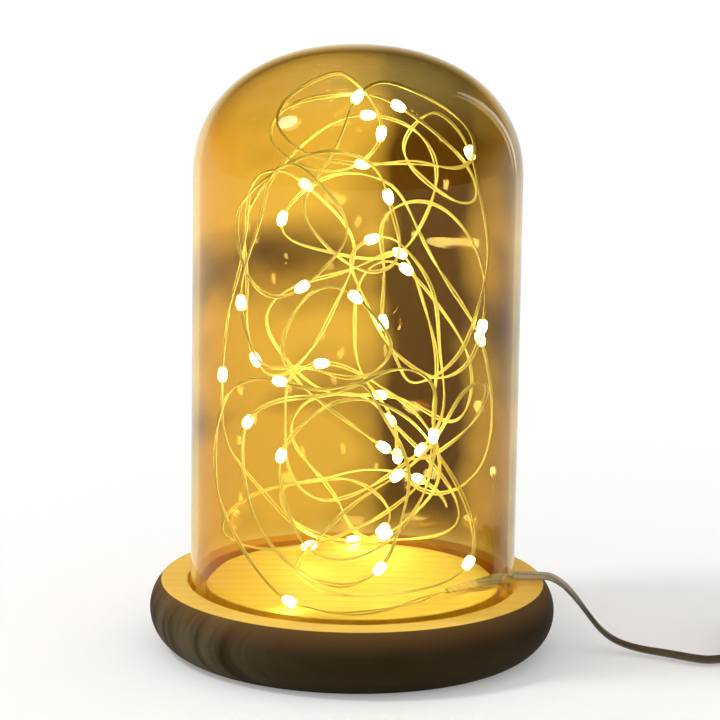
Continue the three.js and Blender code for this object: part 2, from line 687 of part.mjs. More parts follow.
function plugGland() {
  const bore = leadRadius + GLAND_BORE_GAP;
  const tip = -GLAND_LENGTH;
  const inside = PLUG_WALL * 1.5;
  const profile = [
    v2(bore, tip),
    v2(GLAND_TIP_DIAMETER / 2, tip),
    v2(GLAND_DIAMETER / 2, 0),
    v2(GLAND_DIAMETER / 2, inside),
    v2(bore, inside),
    v2(bore, tip),
  ];
  return turned(profile, GLAND_SIDES).rotateX(-Math.PI / 2).translate(plugX, plugY, plugZ);
}

function addPlug() {
  add("plug_case", plugHalf(1), plugPlastic);
  add("plug_cover", plugHalf(-1), plugPlastic);
  add("plug_gland", plugGland(), plugPlastic);
  const shell = roundedRect(SHELL_WIDTH, SHELL_HEIGHT, SHELL_WALL);
  shell.holes.push(roundedRect(SHELL_WIDTH - 2 * SHELL_WALL, SHELL_HEIGHT - 2 * SHELL_WALL, SHELL_WALL / 2));
  add("usb_shell", plugBar(shell, shellStart, SHELL_OUT + SHELL_IN), steel);
  const tongueWidth = SHELL_WIDTH - 2 * (SHELL_WALL + SHELL_FIT);
  const tongueLength = SHELL_OUT + SHELL_IN - TONGUE_SETBACK;
  const tongueZ = -SHELL_HEIGHT / 2 + SHELL_WALL + SHELL_FIT + TONGUE_HEIGHT / 2;
  add("usb_tongue", block(tongueWidth, tongueLength, TONGUE_HEIGHT, 0, shellStart, tongueZ), insulator);
  const contactZ = tongueZ + (TONGUE_HEIGHT + CONTACT_HEIGHT) / 2 + PARTING_GAP / 2;
  CONTACT_LENGTHS.forEach((length, i) => {
    const x = CONTACT_PITCH * (i - (CONTACT_LENGTHS.length - 1) / 2);
    const start = PLUG_LENGTH + SHELL_OUT - TONGUE_SETBACK - CONTACT_SETBACK - length;
    add("usb_contact_" + (i + 1), block(CONTACT_WIDTH, length, CONTACT_HEIGHT, x, start, contactZ), gold);
  });
  const boardWidth = plugRoomWidth - 2 * BOARD_SIDE_GAP;
  add("plug_board", block(boardWidth, BOARD_LENGTH, BOARD_THICKNESS, 0, boardStart, 0), boardGreen);
  const resistorZ = (BOARD_THICKNESS + RESISTOR_HEIGHT) / 2 + PARTING_GAP / 2;
  const resistorStart = boardStart + (BOARD_LENGTH - RESISTOR_LENGTH) / 2;
  add("board_resistor", block(RESISTOR_WIDTH, RESISTOR_LENGTH, RESISTOR_HEIGHT, 0, resistorStart, resistorZ), ceramic);
}

add("wood_base", woodBase(), wood);
add("glass_dome", glassDome(), glass);
addString();
addLead();
addPlug();

export default part;
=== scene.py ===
"""A glass dome light: a glass bell on a turned wooden base, filled with a string of small warm lights.

Every shape is a surface worked out in numpy, in metres, in the frame of the CAD model.
"""

import bpy
import numpy as np
from bpy.props import FloatProperty, FloatVectorProperty, IntProperty, PointerProperty
from bpy.types import Operator, Panel, PropertyGroup
from mathutils import Matrix, Vector


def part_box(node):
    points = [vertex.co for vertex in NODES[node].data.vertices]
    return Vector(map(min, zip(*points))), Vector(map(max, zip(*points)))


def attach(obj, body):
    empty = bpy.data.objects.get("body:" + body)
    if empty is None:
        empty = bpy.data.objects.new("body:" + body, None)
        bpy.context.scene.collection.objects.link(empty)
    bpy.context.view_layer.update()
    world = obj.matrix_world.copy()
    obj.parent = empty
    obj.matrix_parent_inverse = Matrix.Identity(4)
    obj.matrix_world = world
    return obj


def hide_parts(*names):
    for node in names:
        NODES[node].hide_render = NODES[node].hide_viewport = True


bl_info = {
    "name": "Glass Dome Light",
    "version": (1, 0, 0),
    "blender": (4, 5, 0),
    "location": "View3D > Sidebar > Dome Light",
    "description": "Builds a glass dome light with its wooden base, light string, lead and plug",
    "category": "Add Mesh",
}

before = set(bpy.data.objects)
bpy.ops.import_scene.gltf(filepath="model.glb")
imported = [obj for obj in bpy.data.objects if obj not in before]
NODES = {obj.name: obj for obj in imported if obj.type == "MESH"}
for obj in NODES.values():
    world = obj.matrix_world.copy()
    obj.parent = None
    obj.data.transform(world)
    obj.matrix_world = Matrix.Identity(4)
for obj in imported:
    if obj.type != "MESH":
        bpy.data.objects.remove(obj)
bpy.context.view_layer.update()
BEAD_NODES = sorted(name for name in NODES if name.startswith("led_bead_"))
CONTACT_NODES = sorted(name for name in NODES if name.startswith("usb_contact_"))
TIE_NODES = ("coil_tie_1", "coil_tie_2")
GLAND_BOX, CASE_BOX, COVER_BOX = (
    np.array([list(corner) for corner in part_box(name)]) for name in ("plug_gland", "plug_case", "plug_cover")
)

# Camera: angles in degrees, lens and sensor in millimetres
CAMERA_ELEVATION, CAMERA_ROLL = 11.63, 0.85
CAMERA_AIM, CAMERA_AWAY = np.array([0.00137, 0.0, 0.0891]), 1.0
CAMERA_LENS, CAMERA_SENSOR = 163.74, 36.0
# Lamps: name, place, point that it faces, width, height, power in watts
LAMPS = (
    ("key_lamp", (-1.0, -0.25, 1.38), (0.0, 0.0, 0.09), 0.34, 0.34, 9.0),
    ("edge_lamp", (0.77, 0.92, 0.5), (0.0, 0.0, 0.1), 0.1, 1.0, 0.8),
)
FLOOR_HALF_SIDE, FLOOR_BELOW = 12.0, 0.0002

# Rounded corners of a profile: steps, room for the guard points, longest share of a side, least half turn
FILLET_STEPS, FILLET_GUARD, FILLET_SHARE, FILLET_LEAST = 5, 0.00012, 0.45, 0.02

# Wooden base: steps of its arcs, rounding of its corners, wear of its upper edge, room around its bare wood
LOWER_STEPS, UPPER_STEPS = 22, 18
FOOT_ROUNDING, EDGE_ROUNDING = 0.0006, 0.0004
GROOVE_ROUNDINGS = (0.0004, 0.0003, 0.0003, 0.0004)
WEAR, WEAR_DEPTH = 0.05, 0.0022
BARE_LIP, BARE_DEPTH, GROOVE_DEPTH_ROOM = 0.0005, 0.00005, 0.00001
INSIDE_LIP, INSIDE_DEPTH = 0.0001, 0.001

# Glass bell: steps of its crown, wall, rim and notch
CROWN_STEPS, WALL_STEPS, RIM_STEPS, NOTCH_STEPS = 40, 9, 9, 25
# Shares of the notch's half angle: just within its edge, just beyond it, and where the even steps start
NOTCH_WITHIN, NOTCH_BEYOND, NOTCH_MARGIN = 0.9999, 1.0001, 1.15

# Loops of the string, front to back: middle across, middle above the wood, half width, half height, turns
STRING_LOOPS = np.array(
    [
        (-0.014, 0.0385, 0.028, 0.036, 0.5),
        (-0.007, 0.0405, 0.025, 0.032, 0.94),
        (0.003, 0.045, 0.023, 0.03, 1.17),
        (0.014, 0.012, 0.026, 0.0095, 0.9),
        (0.0185, 0.062, 0.0205, 0.016, 0.78),
        (-0.011, 0.08, 0.0215, 0.013, 1.08),
        (-0.025, 0.113, 0.02, 0.0205, 0.63),
        (-0.018, 0.11, 0.017, 0.017, 0.62),
        (0.0045, 0.1215, 0.015, 0.0255, 0.77),
        (0.0075, 0.1415, 0.026, 0.0145, 0.74),
        (-0.011, 0.145, 0.019, 0.012, 0.63),
        (-0.008, 0.141, 0.0175, 0.0115, 0.87),
        (0.029, 0.131, 0.01, 0.0135, 1.13),
        (0.0215, 0.0865, 0.017, 0.028, 1.41),
        (0.015, 0.097, 0.013, 0.011, 0.58),
        (-0.0015, 0.045, 0.0245, 0.022, 1.09),
        (-0.0165, 0.0155, 0.0245, 0.011, 1.34),
        (-0.0235, 0.0945, 0.017, 0.0305, 1.15),
        (0.003, 0.118, 0.023, 0.0245, 1.14),
        (0.024, 0.057, 0.018, 0.0345, 0.77),
        (0.017, 0.06, 0.0205, 0.03, 0.73),
        (0, 0.079, 0.025, 0.0165, 0.79),
        (0.008, 0.038, 0.023, 0.035, 0.75),
        (0.0035, 0.014, 0.0275, 0.0115, 1.24),
    ]
)
LOOP_FIELD_RADIUS, LOOP_FIELD_HEIGHT = 0.045, 0.160
LOOP_SWING = 0.6
DEPTH_FRONT, DEPTH_BACK = -0.85, 0.85
WAVE_ACROSS, WAVE_WIDTH = 0.07, 0.060
WAVE_UP, WAVE_HEIGHT = 0.06, 0.090
# Ripples that leave the loops uneven: size, length, and how far each one moves on in one turn, in radians
RIPPLES_ACROSS = np.array([(0.0053, 0.083, 1.28), (0.0018, 0.038, 1.46)])
RIPPLES_UP = np.array([(0.0042, 0.06, -0.65), (0.00104, 0.03063, 0.6)])
WIRE_TO_GLASS = 0.0026
FLOOR_RUN_PULL = 0.016
# Steps in a turn of the string's line: in the CAD model, for the wires and for the drops
CAD_STEPS, WIRE_STEPS, DROP_STEPS = 24, 80, 96
# The pair of wires: sides of a wire, length of a twist, sway of the twist, swing of the spacing
WIRE_SIDES, WIRE_TWIST = 6, 0.055
WIRE_SWAY, WIRE_SWAY_LENGTH = 1.3, 0.021
WIRE_SWING, WIRE_SWING_LENGTH = 0.35, 0.013
# Drops: rings, sides, radius of the tips, lean of the thickest place off the middle, power of the glow
DROP_RINGS, DROP_SIDES, DROP_TIP, DROP_LEAN, DROP_GLOW = 15, 14, 0.0003, 0.12, 2.5

# Lead outside the glass: distance past the widest circle of the base, sideways, height
LEAD_ROUTE = np.array(
    [
        (-0.0015, -0.0003, 0.0216),
        (0.0025, -0.0010, 0.0196),
        (0.0055, -0.0017, 0.0168),
        (0.0085, -0.0026, 0.0132),
        (0.0115, -0.0038, 0.0096),
        (0.0145, -0.0052, 0.0064),
        (0.0180, -0.0068, 0.0040),
        (0.0220, -0.0085, 0.0026),
        (0.0270, -0.0108, 0.0019),
        (0.0330, -0.0136, 0.0017),
        (0.0380, -0.0166, 0.0017),
        (0.0420, -0.0190, 0.0017),
        (0.0460, -0.0203, 0.0017),
        (0.0500, -0.0194, 0.0017),
        (0.0540, -0.0176, 0.0018),
        (0.0600, -0.0167, 0.0020),
        (0.0670, -0.0165, 0.0023),
    ]
)
LEAD_STEPS, LEAD_SIDES = 10, 20
LEAD_FLATNESS, LEAD_WAIST, LEAD_WAIST_SPREAD = 0.7, 0.16, 0.03
LEAD_TWIST, LEAD_SWAY, LEAD_SWAY_LENGTH, LEAD_START = 0.16, 0.9, 0.031, 0.35
CORE_PLACE, CORE_SPREAD = 0.55, 0.035
LEAD_REST = 0.0003
END_GAP = 0.0003
COIL_TURNS, COIL_LAYERS, COIL_STEPS = 8.25, 4, 48
COIL_PITCH, COIL_CLIMB = 0.0034, 0.25
COIL_INNER_RADIUS = 0.0124
COIL_FROM_BASE, COIL_SIDEWAYS = 0.0765, 0.003
TIE_ROOM = 0.00045

# Splice sleeve: place inside the glass, steps, sides, taper, turns of its lobes, shape of the lobes
SPLICE_FROM_GLASS = (-0.0148, -0.0115)
SLEEVE_STEPS, SLEEVE_SIDES, SLEEVE_TAPER, SLEEVE_TURNS = 120, 28, 0.3, 2.6
LOBE_LEAST, LOBE_MORE, LOBE_POWER = 0.66, 0.34, 0.8

# Plug body: steps, sides, rounding of its ends, powers of its section and of its flanks, and the grip ridges
PLUG_STEPS, PLUG_SIDES, PLUG_SOFT, PLUG_SQUARE, PLUG_FLANK = 81, 72, 0.0012, 0.4, 12
GRIP_FROM_END, GRIP_FADE, GRIP_DEPTH, GRIP_PITCH = 0.005, 0.0015, 0.00035, 0.0021
# Strain relief: steps, sides, taper, lip, and its rings, which keep clear of both ends
RELIEF_STEPS, RELIEF_SIDES, RELIEF_TAPER, RELIEF_LIP = 90, 36, 0.0009, 0.0003
RING_PITCH, RING_START, RING_DEPTH, RING_FROM_PLUG, RING_FROM_MOUTH = 0.002, 0.6, 0.0007, 0.0008, 0.0011

# Finishes of the solids that stay: name, colour, speckle, roughness, nodes
SOLID_PLASTICS = (
    ("tie_plastic", (0.02, 0.02, 0.022), 0.2, 0.5, TIE_NODES),
    ("tongue_plastic", (0.78, 0.78, 0.76), 0.05, 0.45, ("usb_tongue",)),
    ("board_laminate", (0.02, 0.12, 0.045), 0.25, 0.35, ("plug_board",)),
    ("resistor_body", (0.012, 0.012, 0.014), 0.2, 0.4, ("board_resistor",)),
)
# Name, colour, roughness, nodes
SOLID_METALS = (
    ("shell_steel", (0.64, 0.65, 0.66), 0.2, ("usb_shell",)),
    ("contact_gilt", (0.83, 0.60, 0.24), 0.18, CONTACT_NODES),
)
BRUSHED_ALONG_Y = (300.0, 40.0, 300.0)


def metres(name, description, default):
    """A property that holds a length."""
    return FloatProperty(name=name, description=description, default=default, unit="LENGTH")


def tint(name, description, default):
    """A property that holds a linear colour."""
    return FloatVectorProperty(name=name, description=description, default=default, subtype="COLOR")


class DomeLightSizes(PropertyGroup):
    """Sizes of the light."""

    glass_radius: metres("Glass radius", "Outer radius of the bell", 0.05)
    glass_wall: metres("Glass wall", "Thickness of the glass", 0.0022)
    glass_height: metres("Glass height", "Height of the bell from rim to top", 0.169)
    crown_height: metres("Crown height", "Height of the rounded top of the bell", 0.04)
    crown_power: FloatProperty(
        name="Crown power",
        description="Fullness of the crown, 2 for an ellipse",
        default=2.2,
        min=1.5,
        max=4,
    )
    base_height: metres("Base height", "Height of the wooden base", 0.02)
    base_ledge: metres("Base ledge", "Width of the flat ring outside the groove", 0.0082)
    base_bulge: metres("Base bulge", "How far the side stands past the flat top", 0.0035)
    belly_height: metres("Belly height", "Height of the widest circle", 0.0115)
    foot_inset: metres("Foot inset", "How far the underside is set in", 0.0075)
    groove_depth: metres("Groove depth", "Depth of the groove for the glass", 0.004)
    groove_outer_room: metres("Groove room outside", "Gap outside the glass", 0.0008)
    groove_inner_room: metres("Groove room inside", "Gap inside the glass", 0.0032)
    rim_gap: metres("Rim gap", "Gap between rim and groove floor", 0.0003)
    notch_room: metres("Notch room", "Gap between lead and notch", 0.0006)
    wire_width: metres("Wire width", "Width of the CAD wire that the pair follows", 0.001)
    strand_width: metres("Strand width", "Diameter of one enamelled wire", 0.0006)
    strand_apart: metres("Strand spacing", "Distance between the two wires", 0.00066)
    drop_width: metres("Drop width", "Diameter of a light drop", 0.003)
    drop_length: metres("Drop length", "Length of a light drop", 0.005)
    drop_first: metres("First drop", "Wire before the first drop", 0.056)
    drop_to_end: metres("Wire after the last drop", "Wire past the last drop", 0.0045)
    drop_sway: metres("Drop sway", "How far the drops sit to and fro of even spacing", 0.012)
    drop_sway_step: FloatProperty(
        name="Drop sway step",
        description="How far the sway moves on from drop to drop",
        default=1.1,
        subtype="ANGLE",
    )
    lead_width: metres("Lead width", "Width of the flat twin lead", 0.0028)
    splice_width: metres("Splice width", "Diameter of the splice sleeve", 0.0026)
    splice_length: metres("Splice length", "Length of the splice sleeve", 0.013)
    tie_thickness: metres("Tie thickness", "Thickness of a coil tie", 0.0007)
    segments: IntProperty(name="Segments", description="Steps around the turned pieces", default=288, min=48)


class DomeLightColours(PropertyGroup):
    """Colours of the finishes, linear."""

    glass: tint("Glass", "Pale tint of the front of the glass", (0.92, 0.82, 0.42))
    # Golden tint of the back glass, partly painted warm light seen through the glass
    glass_back_tint_and_light: tint("Back glass", "Golden tint of the back of the glass", (0.82, 0.50, 0.086))
    # Brown painted reflections and painted shade at the back of the glass
    glass_painted_reflections: tint("Smoky glass", "Brown smoke at the back of the glass", (0.11, 0.044, 0.004))
    glass_sheen: tint("Glass sheen", "Tint of what the glass mirrors", (1.0, 0.94, 0.66))
    # The golden top is partly painted light of the drops
    wood_pale: tint("Pale wood", "Early wood of the bare top", (0.98, 0.67, 0.14))
    # Painted light of the drops on the floor under the glass
    wood_painted_glow: tint("Wood inside", "Early wood of the floor under the glass", (0.98, 0.82, 0.27))
    wood_line: tint("Wood line", "Late wood of the bare top", (0.86, 0.53, 0.10))
    # The stained side is partly painted shade
    stain_and_shade_pale: tint("Pale stain", "Light bands of the stained side", (0.132, 0.104, 0.057))
    # Painted light of the drops on the upper edge of the side
    edge_painted_glow: tint("Stain at the edge", "Thin stain near the upper edge", (0.17, 0.072, 0.024))
    # Dark bands of the side, partly painted shade
    stain_and_shade_dark: tint("Dark stain", "Dark bands of the stained side", (0.026, 0.015, 0.0030))
    wire: tint("Wire", "Enamelled wire of the string", (1.0, 0.86, 0.44))
    glow: tint("Glow", "Light of the drops", (1.0, 0.95, 0.60))
    # Painted highlight on the silvery lead near the glass
    lead_painted_highlight: tint("Silvery lead", "The lead where it leaves the glass", (0.56, 0.53, 0.43))
    lead: tint("Lead", "Clear plastic of the lead", (0.14, 0.105, 0.055))
    plug: tint("Plug", "Moulded plastic of the plug", (0.80, 0.78, 0.72))


def unit(vectors):
    """Scales each vector of an array to length one."""
    return vectors / np.linalg.norm(vectors, axis=-1, keepdims=True)


def smooth(share):
    """The S curve 3t² - 2t³ of shares clipped to 0 and 1."""
    t = np.clip(share, 0, 1)
    return t * t * (3 - 2 * t)


def around(steps):
    """Angles of even steps in a full turn."""
    return np.linspace(0, 2 * np.pi, steps, endpoint=False)


def circle(angle):
    """Points of a circle of radius one at some angles: their cosines and sines."""
    return np.stack([np.cos(angle), np.sin(angle)], axis=-1)


def lengths_along(path):
    """The length of a path up to each of its points: the running sum of its steps."""
    steps = np.linalg.norm(np.diff(path, axis=0), axis=1)
    return np.concatenate([[0.0], np.cumsum(steps)])


def at_length(path, lengths, wanted):
    """Points of a path at wanted lengths, by straight lines between its points."""
    return np.stack([np.interp(wanted, lengths, path[:, k]) for k in range(3)], axis=-1)


def frames_along(path):
    """Vectors along a path and two across it that turn as little as they can.

    A side vector is square to the path and to a fixed direction. Each one is carried to the next point, and
    the running sum of the angles that it then differs by is turned back.
    """
    along = unit(np.gradient(path, axis=0))
    steep = np.abs(along[:, 2:3]) > 0.8
    fixed = np.where(steep, np.array([[1.0, 0.0, 0.0]]), np.array([[0.0, 0.0, 1.0]]))
    side = unit(np.cross(fixed, along))
    up = np.cross(along, side)
    carried = side[:-1] - (side[:-1] * along[1:]).sum(1, keepdims=True) * along[1:]
    angle = np.arctan2((carried * up[1:]).sum(1), (carried * side[1:]).sum(1))
    turn = np.concatenate([[0.0], np.cumsum(angle)])[:, None]
    across = np.cos(turn) * side + np.sin(turn) * up
    return along, across, np.cross(along, across)


def smooth_line(points, steps):
    """A centripetal Catmull-Rom line: four points and their root-distance knots give each stretch."""
    ends = np.vstack([2 * points[0] - points[1], points, 2 * points[-1] - points[-2]])
    a, b, c, d = ends[:-3, None], ends[1:-2, None], ends[2:-1, None], ends[3:, None]
    gaps = np.sqrt(np.linalg.norm(np.diff(ends, axis=0), axis=1))
    t1 = gaps[:-2, None, None]
    t2 = t1 + gaps[1:-1, None, None]
    t3 = t2 + gaps[2:, None, None]
    t = t1 + (t2 - t1) * np.linspace(0, 1, steps, endpoint=False)[None, :, None]
    ab = a + (b - a) * t / t1
    bc = b + (c - b) * (t - t1) / (t2 - t1)
    cd = c + (d - c) * (t - t2) / (t3 - t2)
    abc = ab + (bc - ab) * t / t2
    bcd = bc + (cd - bc) * (t - t1) / (t3 - t1)
    line = abc + (bcd - abc) * (t - t1) / (t2 - t1)
    return np.vstack([line.reshape(-1, 3), points[-1:]])


def grid_quads(rows, columns):
    """Quads of a grid of points that are numbered row by row, with each row joined round."""
    r, c = np.arange(rows - 1)[:, None], np.arange(columns)[None, :]
    near, far, c2 = r * columns, (r + 1) * columns, (c + 1) % columns
    return np.stack([near + c, near + c2, far + c2, far + c], axis=-1).reshape(-1, 4)


def cap_fan(first, columns, centre, outwards):
    """Triangles from a ring of points to one centre point."""
    c = np.arange(columns)
    fan = np.stack([first + c, first + (c + 1) % columns, np.full(columns, centre)], axis=-1)
    return fan if outwards else fan[:, ::-1]


def closed_faces(rows, columns):
    """Faces of a grid of joined rows: quads, and a fan at each end to a point that follows the grid."""
    count = rows * columns
    first, last = cap_fan(0, columns, count, False), cap_fan(count - columns, columns, count + 1, True)
    return [grid_quads(rows, columns), first, last]


def sweep(path, sections):
    """Carries a closed section along a path: point + x · across + y · other across.

    sections is one (sides, 2) array, or one for each path point. Fans close the ends.
    """
    _, across, other = frames_along(path)
    shape = np.broadcast_to(sections, (len(path),) + sections.shape[-2:])
    points = path[:, None] + shape[..., :1] * across[:, None] + shape[..., 1:] * other[:, None]
    return np.vstack([points.reshape(-1, 3), path[0], path[-1]]), closed_faces(*points.shape[:2])


def turned(profile, azimuth):
    """Turns profiles of radius and height about the Z axis, one for each azimuth; both ends lie on the axis.

    profile is (points, 2), or (azimuths, points, 2) where it changes with the azimuth.
    """
    shape = np.broadcast_to(profile, (len(azimuth),) + profile.shape[-2:])
    inner = shape[:, 1:-1]
    rings = np.empty((inner.shape[1], len(azimuth), 3))
    rings[..., :2] = inner[..., 0].T[..., None] * circle(azimuth)[None]
    rings[..., 2] = inner[..., 1].T
    poles = np.array([[0, 0, shape[0, 0, 1]], [0, 0, shape[0, -1, 1]]])
    return np.vstack([rings.reshape(-1, 3), poles]), closed_faces(*rings.shape[:2])


def filleted(corners, radii):
    """A line through corners, each rounded by an arc that touches both of its sides.

    An arc starts and ends radius · tan(half turn) from its corner. A guard point stands just before and after
    it, so that flat stretches keep their shading.
    """
    line = [corners[:1]]
    share = np.linspace(0, 1, FILLET_STEPS + 1)[:, None]
    for before, corner, after, radius in zip(corners[:-2], corners[1:-1], corners[2:], radii):
        into, out = unit(corner - before), unit(after - corner)
        half = np.arccos(np.clip(into @ out, -1, 1)) / 2
        if radius == 0 or half < FILLET_LEAST:
            line.append(corner[None])
            continue
        shorter = min(np.linalg.norm(corner - before), np.linalg.norm(after - corner))
        reach = min(radius * np.tan(half), FILLET_SHARE * shorter)
        start, end = corner - into * reach, corner + out * reach
        weight = np.cos(half)
        bow = (1 - share) ** 2 * start + 2 * weight * share * (1 - share) * corner + share**2 * end
        bow /= (1 - share) ** 2 + 2 * weight * share * (1 - share) + share**2
        line += [(start - into * FILLET_GUARD)[None], bow, (end + out * FILLET_GUARD)[None]]
    line.append(corners[-1:])
    return np.vstack(line)


def piece(name, shape, body, material, replaces, marks=None):
    """Puts a shape's points and faces into a mesh object that rides on a body and takes a material.

    marks are named numbers, one for each point, which the material reads as attributes.
    """
    points, faces = shape
    mesh = bpy.data.meshes.new(name)
    mesh.from_pydata(points.tolist(), [], [row for block in faces for row in block.tolist()])
    for label, values in (marks or {}).items():
        attribute = mesh.attributes.new(label, "FLOAT", "POINT")
        attribute.data.foreach_set("value", np.ascontiguousarray(values, dtype=np.float32))
    mesh.polygons.foreach_set("use_smooth", np.ones(len(mesh.polygons), dtype=bool))
    mesh.update()
    obj = bpy.data.objects.new(name, mesh)
    bpy.context.scene.collection.objects.link(obj)
    mesh.materials.append(material)
    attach(obj, body)
    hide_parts(*replaces)
    return obj


class Tree:
    """A material's or the world's node tree, with short calls that add nodes and feed their sockets."""

    def __init__(self, name, owners="materials", shader="Principled BSDF"):
        self.owner = getattr(bpy.data, owners).new(name)
        self.owner.use_nodes = True
        self.nodes = self.owner.node_tree.nodes
        self.links = self.owner.node_tree.links
        self.shader = self.nodes[shader]

    def feed(self, socket, value):
        """Links a socket to another node's output, or sets it to a value; colours get full alpha."""
        if isinstance(value, bpy.types.NodeSocket):
            self.links.new(value, socket)
        else:
            socket.default_value = (*value, 1.0) if socket.type == "RGBA" else value

    def set(self, node, **sockets):
        """Feeds sockets by name, where _ stands for a space."""
        for label, value in sockets.items():
            self.feed(node.inputs[label.replace("_", " ")], value)
        return node

    def finish(self, **sockets):
        """Feeds the shader's sockets and gives the finished material or world."""
        self.set(self.shader, **sockets)
        return self.owner

    def add(self, kind, settings=None, **sockets):
        """Adds a node with its settings and sockets."""
        node = self.nodes.new("ShaderNode" + kind)
        for label, value in (settings or {}).items():
            setattr(node, label, value)
        return self.set(node, **sockets)

    def math(self, operation, *values):
        """A Math node's value."""
        node = self.add("Math", {"operation": operation})
        for socket, value in zip(node.inputs, values):
            self.feed(socket, value)
        return node.outputs[0]

    def mix(self, share, first, second):
        """A colour between two colours."""
        node = self.add("Mix", {"data_type": "RGBA"})
        for number, value in ((0, share), (6, first), (7, second)):
            self.feed(node.inputs[number], value)
        return node.outputs[2]

    def spot(self):
        """Object coordinates."""
        return self.add("TexCoord").outputs["Object"]

    def xyz(self):
        """The three numbers of the Object coordinates."""
        return self.add("SeparateXYZ", Vector=self.spot()).outputs

    def place(self, scale, turn=(0.0, 0.0, 0.0), shift=(0.0, 0.0, 0.0)):
        """Object coordinates, scaled, turned and shifted."""
        return self.add("Mapping", Vector=self.spot(), Scale=scale, Rotation=turn, Location=shift).outputs[0]

    def noise(self, scale, detail, roughness=0.55, turn=(0.0, 0.0, 0.0)):
        """Noise on Object coordinates, with one scale for all three axes or one for each."""
        place = self.place((scale,) * 3 if isinstance(scale, float) else scale, turn)
        return self.add("TexNoise", Vector=place, Scale=1.0, Detail=detail, Roughness=roughness).outputs[0]

    def ramp(self, value, first, last, low=0.0, high=1.0):
        """A smooth step of a value: low up to first, high from last on."""
        step = self.add("MapRange", {"interpolation_type": "SMOOTHSTEP"}, Value=value)
        return self.set(step, From_Min=first, From_Max=last, To_Min=low, To_Max=high).outputs[0]

    def near(self, value, centre, inner, outer, high):
        """A soft band of a value: high within inner of the centre, 0 beyond outer."""
        off = self.math("ABSOLUTE", self.math("SUBTRACT", value, centre))
        return self.ramp(off, inner, outer, high, 0.0)

    def bump(self, height, strength, distance):
        """A normal that follows a height."""
        return self.add("Bump", Height=height, Strength=strength, Distance=distance).outputs[0]

    def seen(self):
        """1 for the rays that see a thing straight, through glass or mirrored, else 0."""
        rays = self.add("LightPath").outputs
        glass = self.math("MAXIMUM", rays["Is Transmission Ray"], rays["Is Glossy Ray"])
        return self.math("MAXIMUM", rays["Is Camera Ray"], glass)

    def mark(self, label):
        """A named attribute's number."""
        return self.add("Attribute", {"attribute_name": label}).outputs["Fac"]


def shaded(base, share):
    """A colour times a share, no part of it above 1."""
    return tuple(min(1.0, share * value) for value in base)


def wood_material(colours):
    """Straight-grained softwood, bare on top and stained dark on the side; the dark side is partly painted
    shade.

    Its rings lie about a far pith along X, so that they stack along Y, and slow noise bends them. The stain
    and painted shade is in streaks at the left and in blotches elsewhere, and is painted lighter towards the
    upper edge, as lit by the drops. The golden top is partly painted light of the drops, and the paler floor
    under the glass is painted light of the drops.
    """
    tree = Tree("turned_wood")
    drift = tree.noise((9.0, 30.0, 30.0), 3.0)
    grain = tree.place((0.12, 1.0, 1.0), shift=(0.0, 0.7, 0.1))
    bend = tree.math("MULTIPLY_ADD", drift, 0.008, 0.996)
    bent = tree.add("VectorMath", {"operation": "SCALE"}, Vector=grain, Scale=bend).outputs[0]
    saw = {"wave_type": "RINGS", "rings_direction": "X", "wave_profile": "SAW"}
    rings = tree.add("TexWave", saw, Vector=bent, Scale=48.0, Distortion=1.2, Detail=3.0, Detail_Scale=1.4)
    late = tree.math("POWER", rings.outputs["Fac"], 2.4)
    fibre = tree.noise((60.0, 1300.0, 1300.0), 5.0, 0.65)
    # The floor under the glass is painted paler with the drops' light
    pale = tree.mix(tree.mark("inside"), colours.wood_pale, colours.wood_painted_glow)
    bare = tree.mix(tree.math("MULTIPLY", late, 0.45), pale, colours.wood_line)
    bare = tree.mix(tree.math("MULTIPLY", fibre, 0.22), bare, colours.wood_line)
    x, _, z = tree.xyz()
    streaks = tree.ramp(tree.noise((5.0, 150.0, 14.0), 3.0, 0.6), 0.36, 0.62, 1.0, 0.0)
    blotches = tree.math("MULTIPLY_ADD", tree.noise((22.0, 40.0, 40.0), 3.0), 0.5, 0.6)
    bands = tree.mix(tree.ramp(x, -0.05, -0.015), streaks, blotches)
    # The stained side, partly painted shade
    stained_and_shaded = tree.mix(bands, colours.stain_and_shade_pale, colours.stain_and_shade_dark)
    stained_and_shaded = tree.mix(tree.math("MULTIPLY", fibre, 0.35), stained_and_shaded, colours.stain_and_shade_dark)
    # Painted light of the drops, lighter towards the upper edge of the side
    stained_and_shaded = tree.mix(tree.ramp(z, 0.012, 0.0198, 0.0, 0.5), stained_and_shaded, colours.edge_painted_glow)
    return tree.finish(
        Base_Color=tree.mix(tree.mark("stain_and_shade"), bare, stained_and_shaded),
        Roughness=tree.math("MULTIPLY_ADD", fibre, 0.22, 0.5),
        Specular_IOR_Level=0.04,
        Normal=tree.bump(tree.math("MULTIPLY_ADD", late, 0.35, fibre), 0.22, 0.0003),
    )


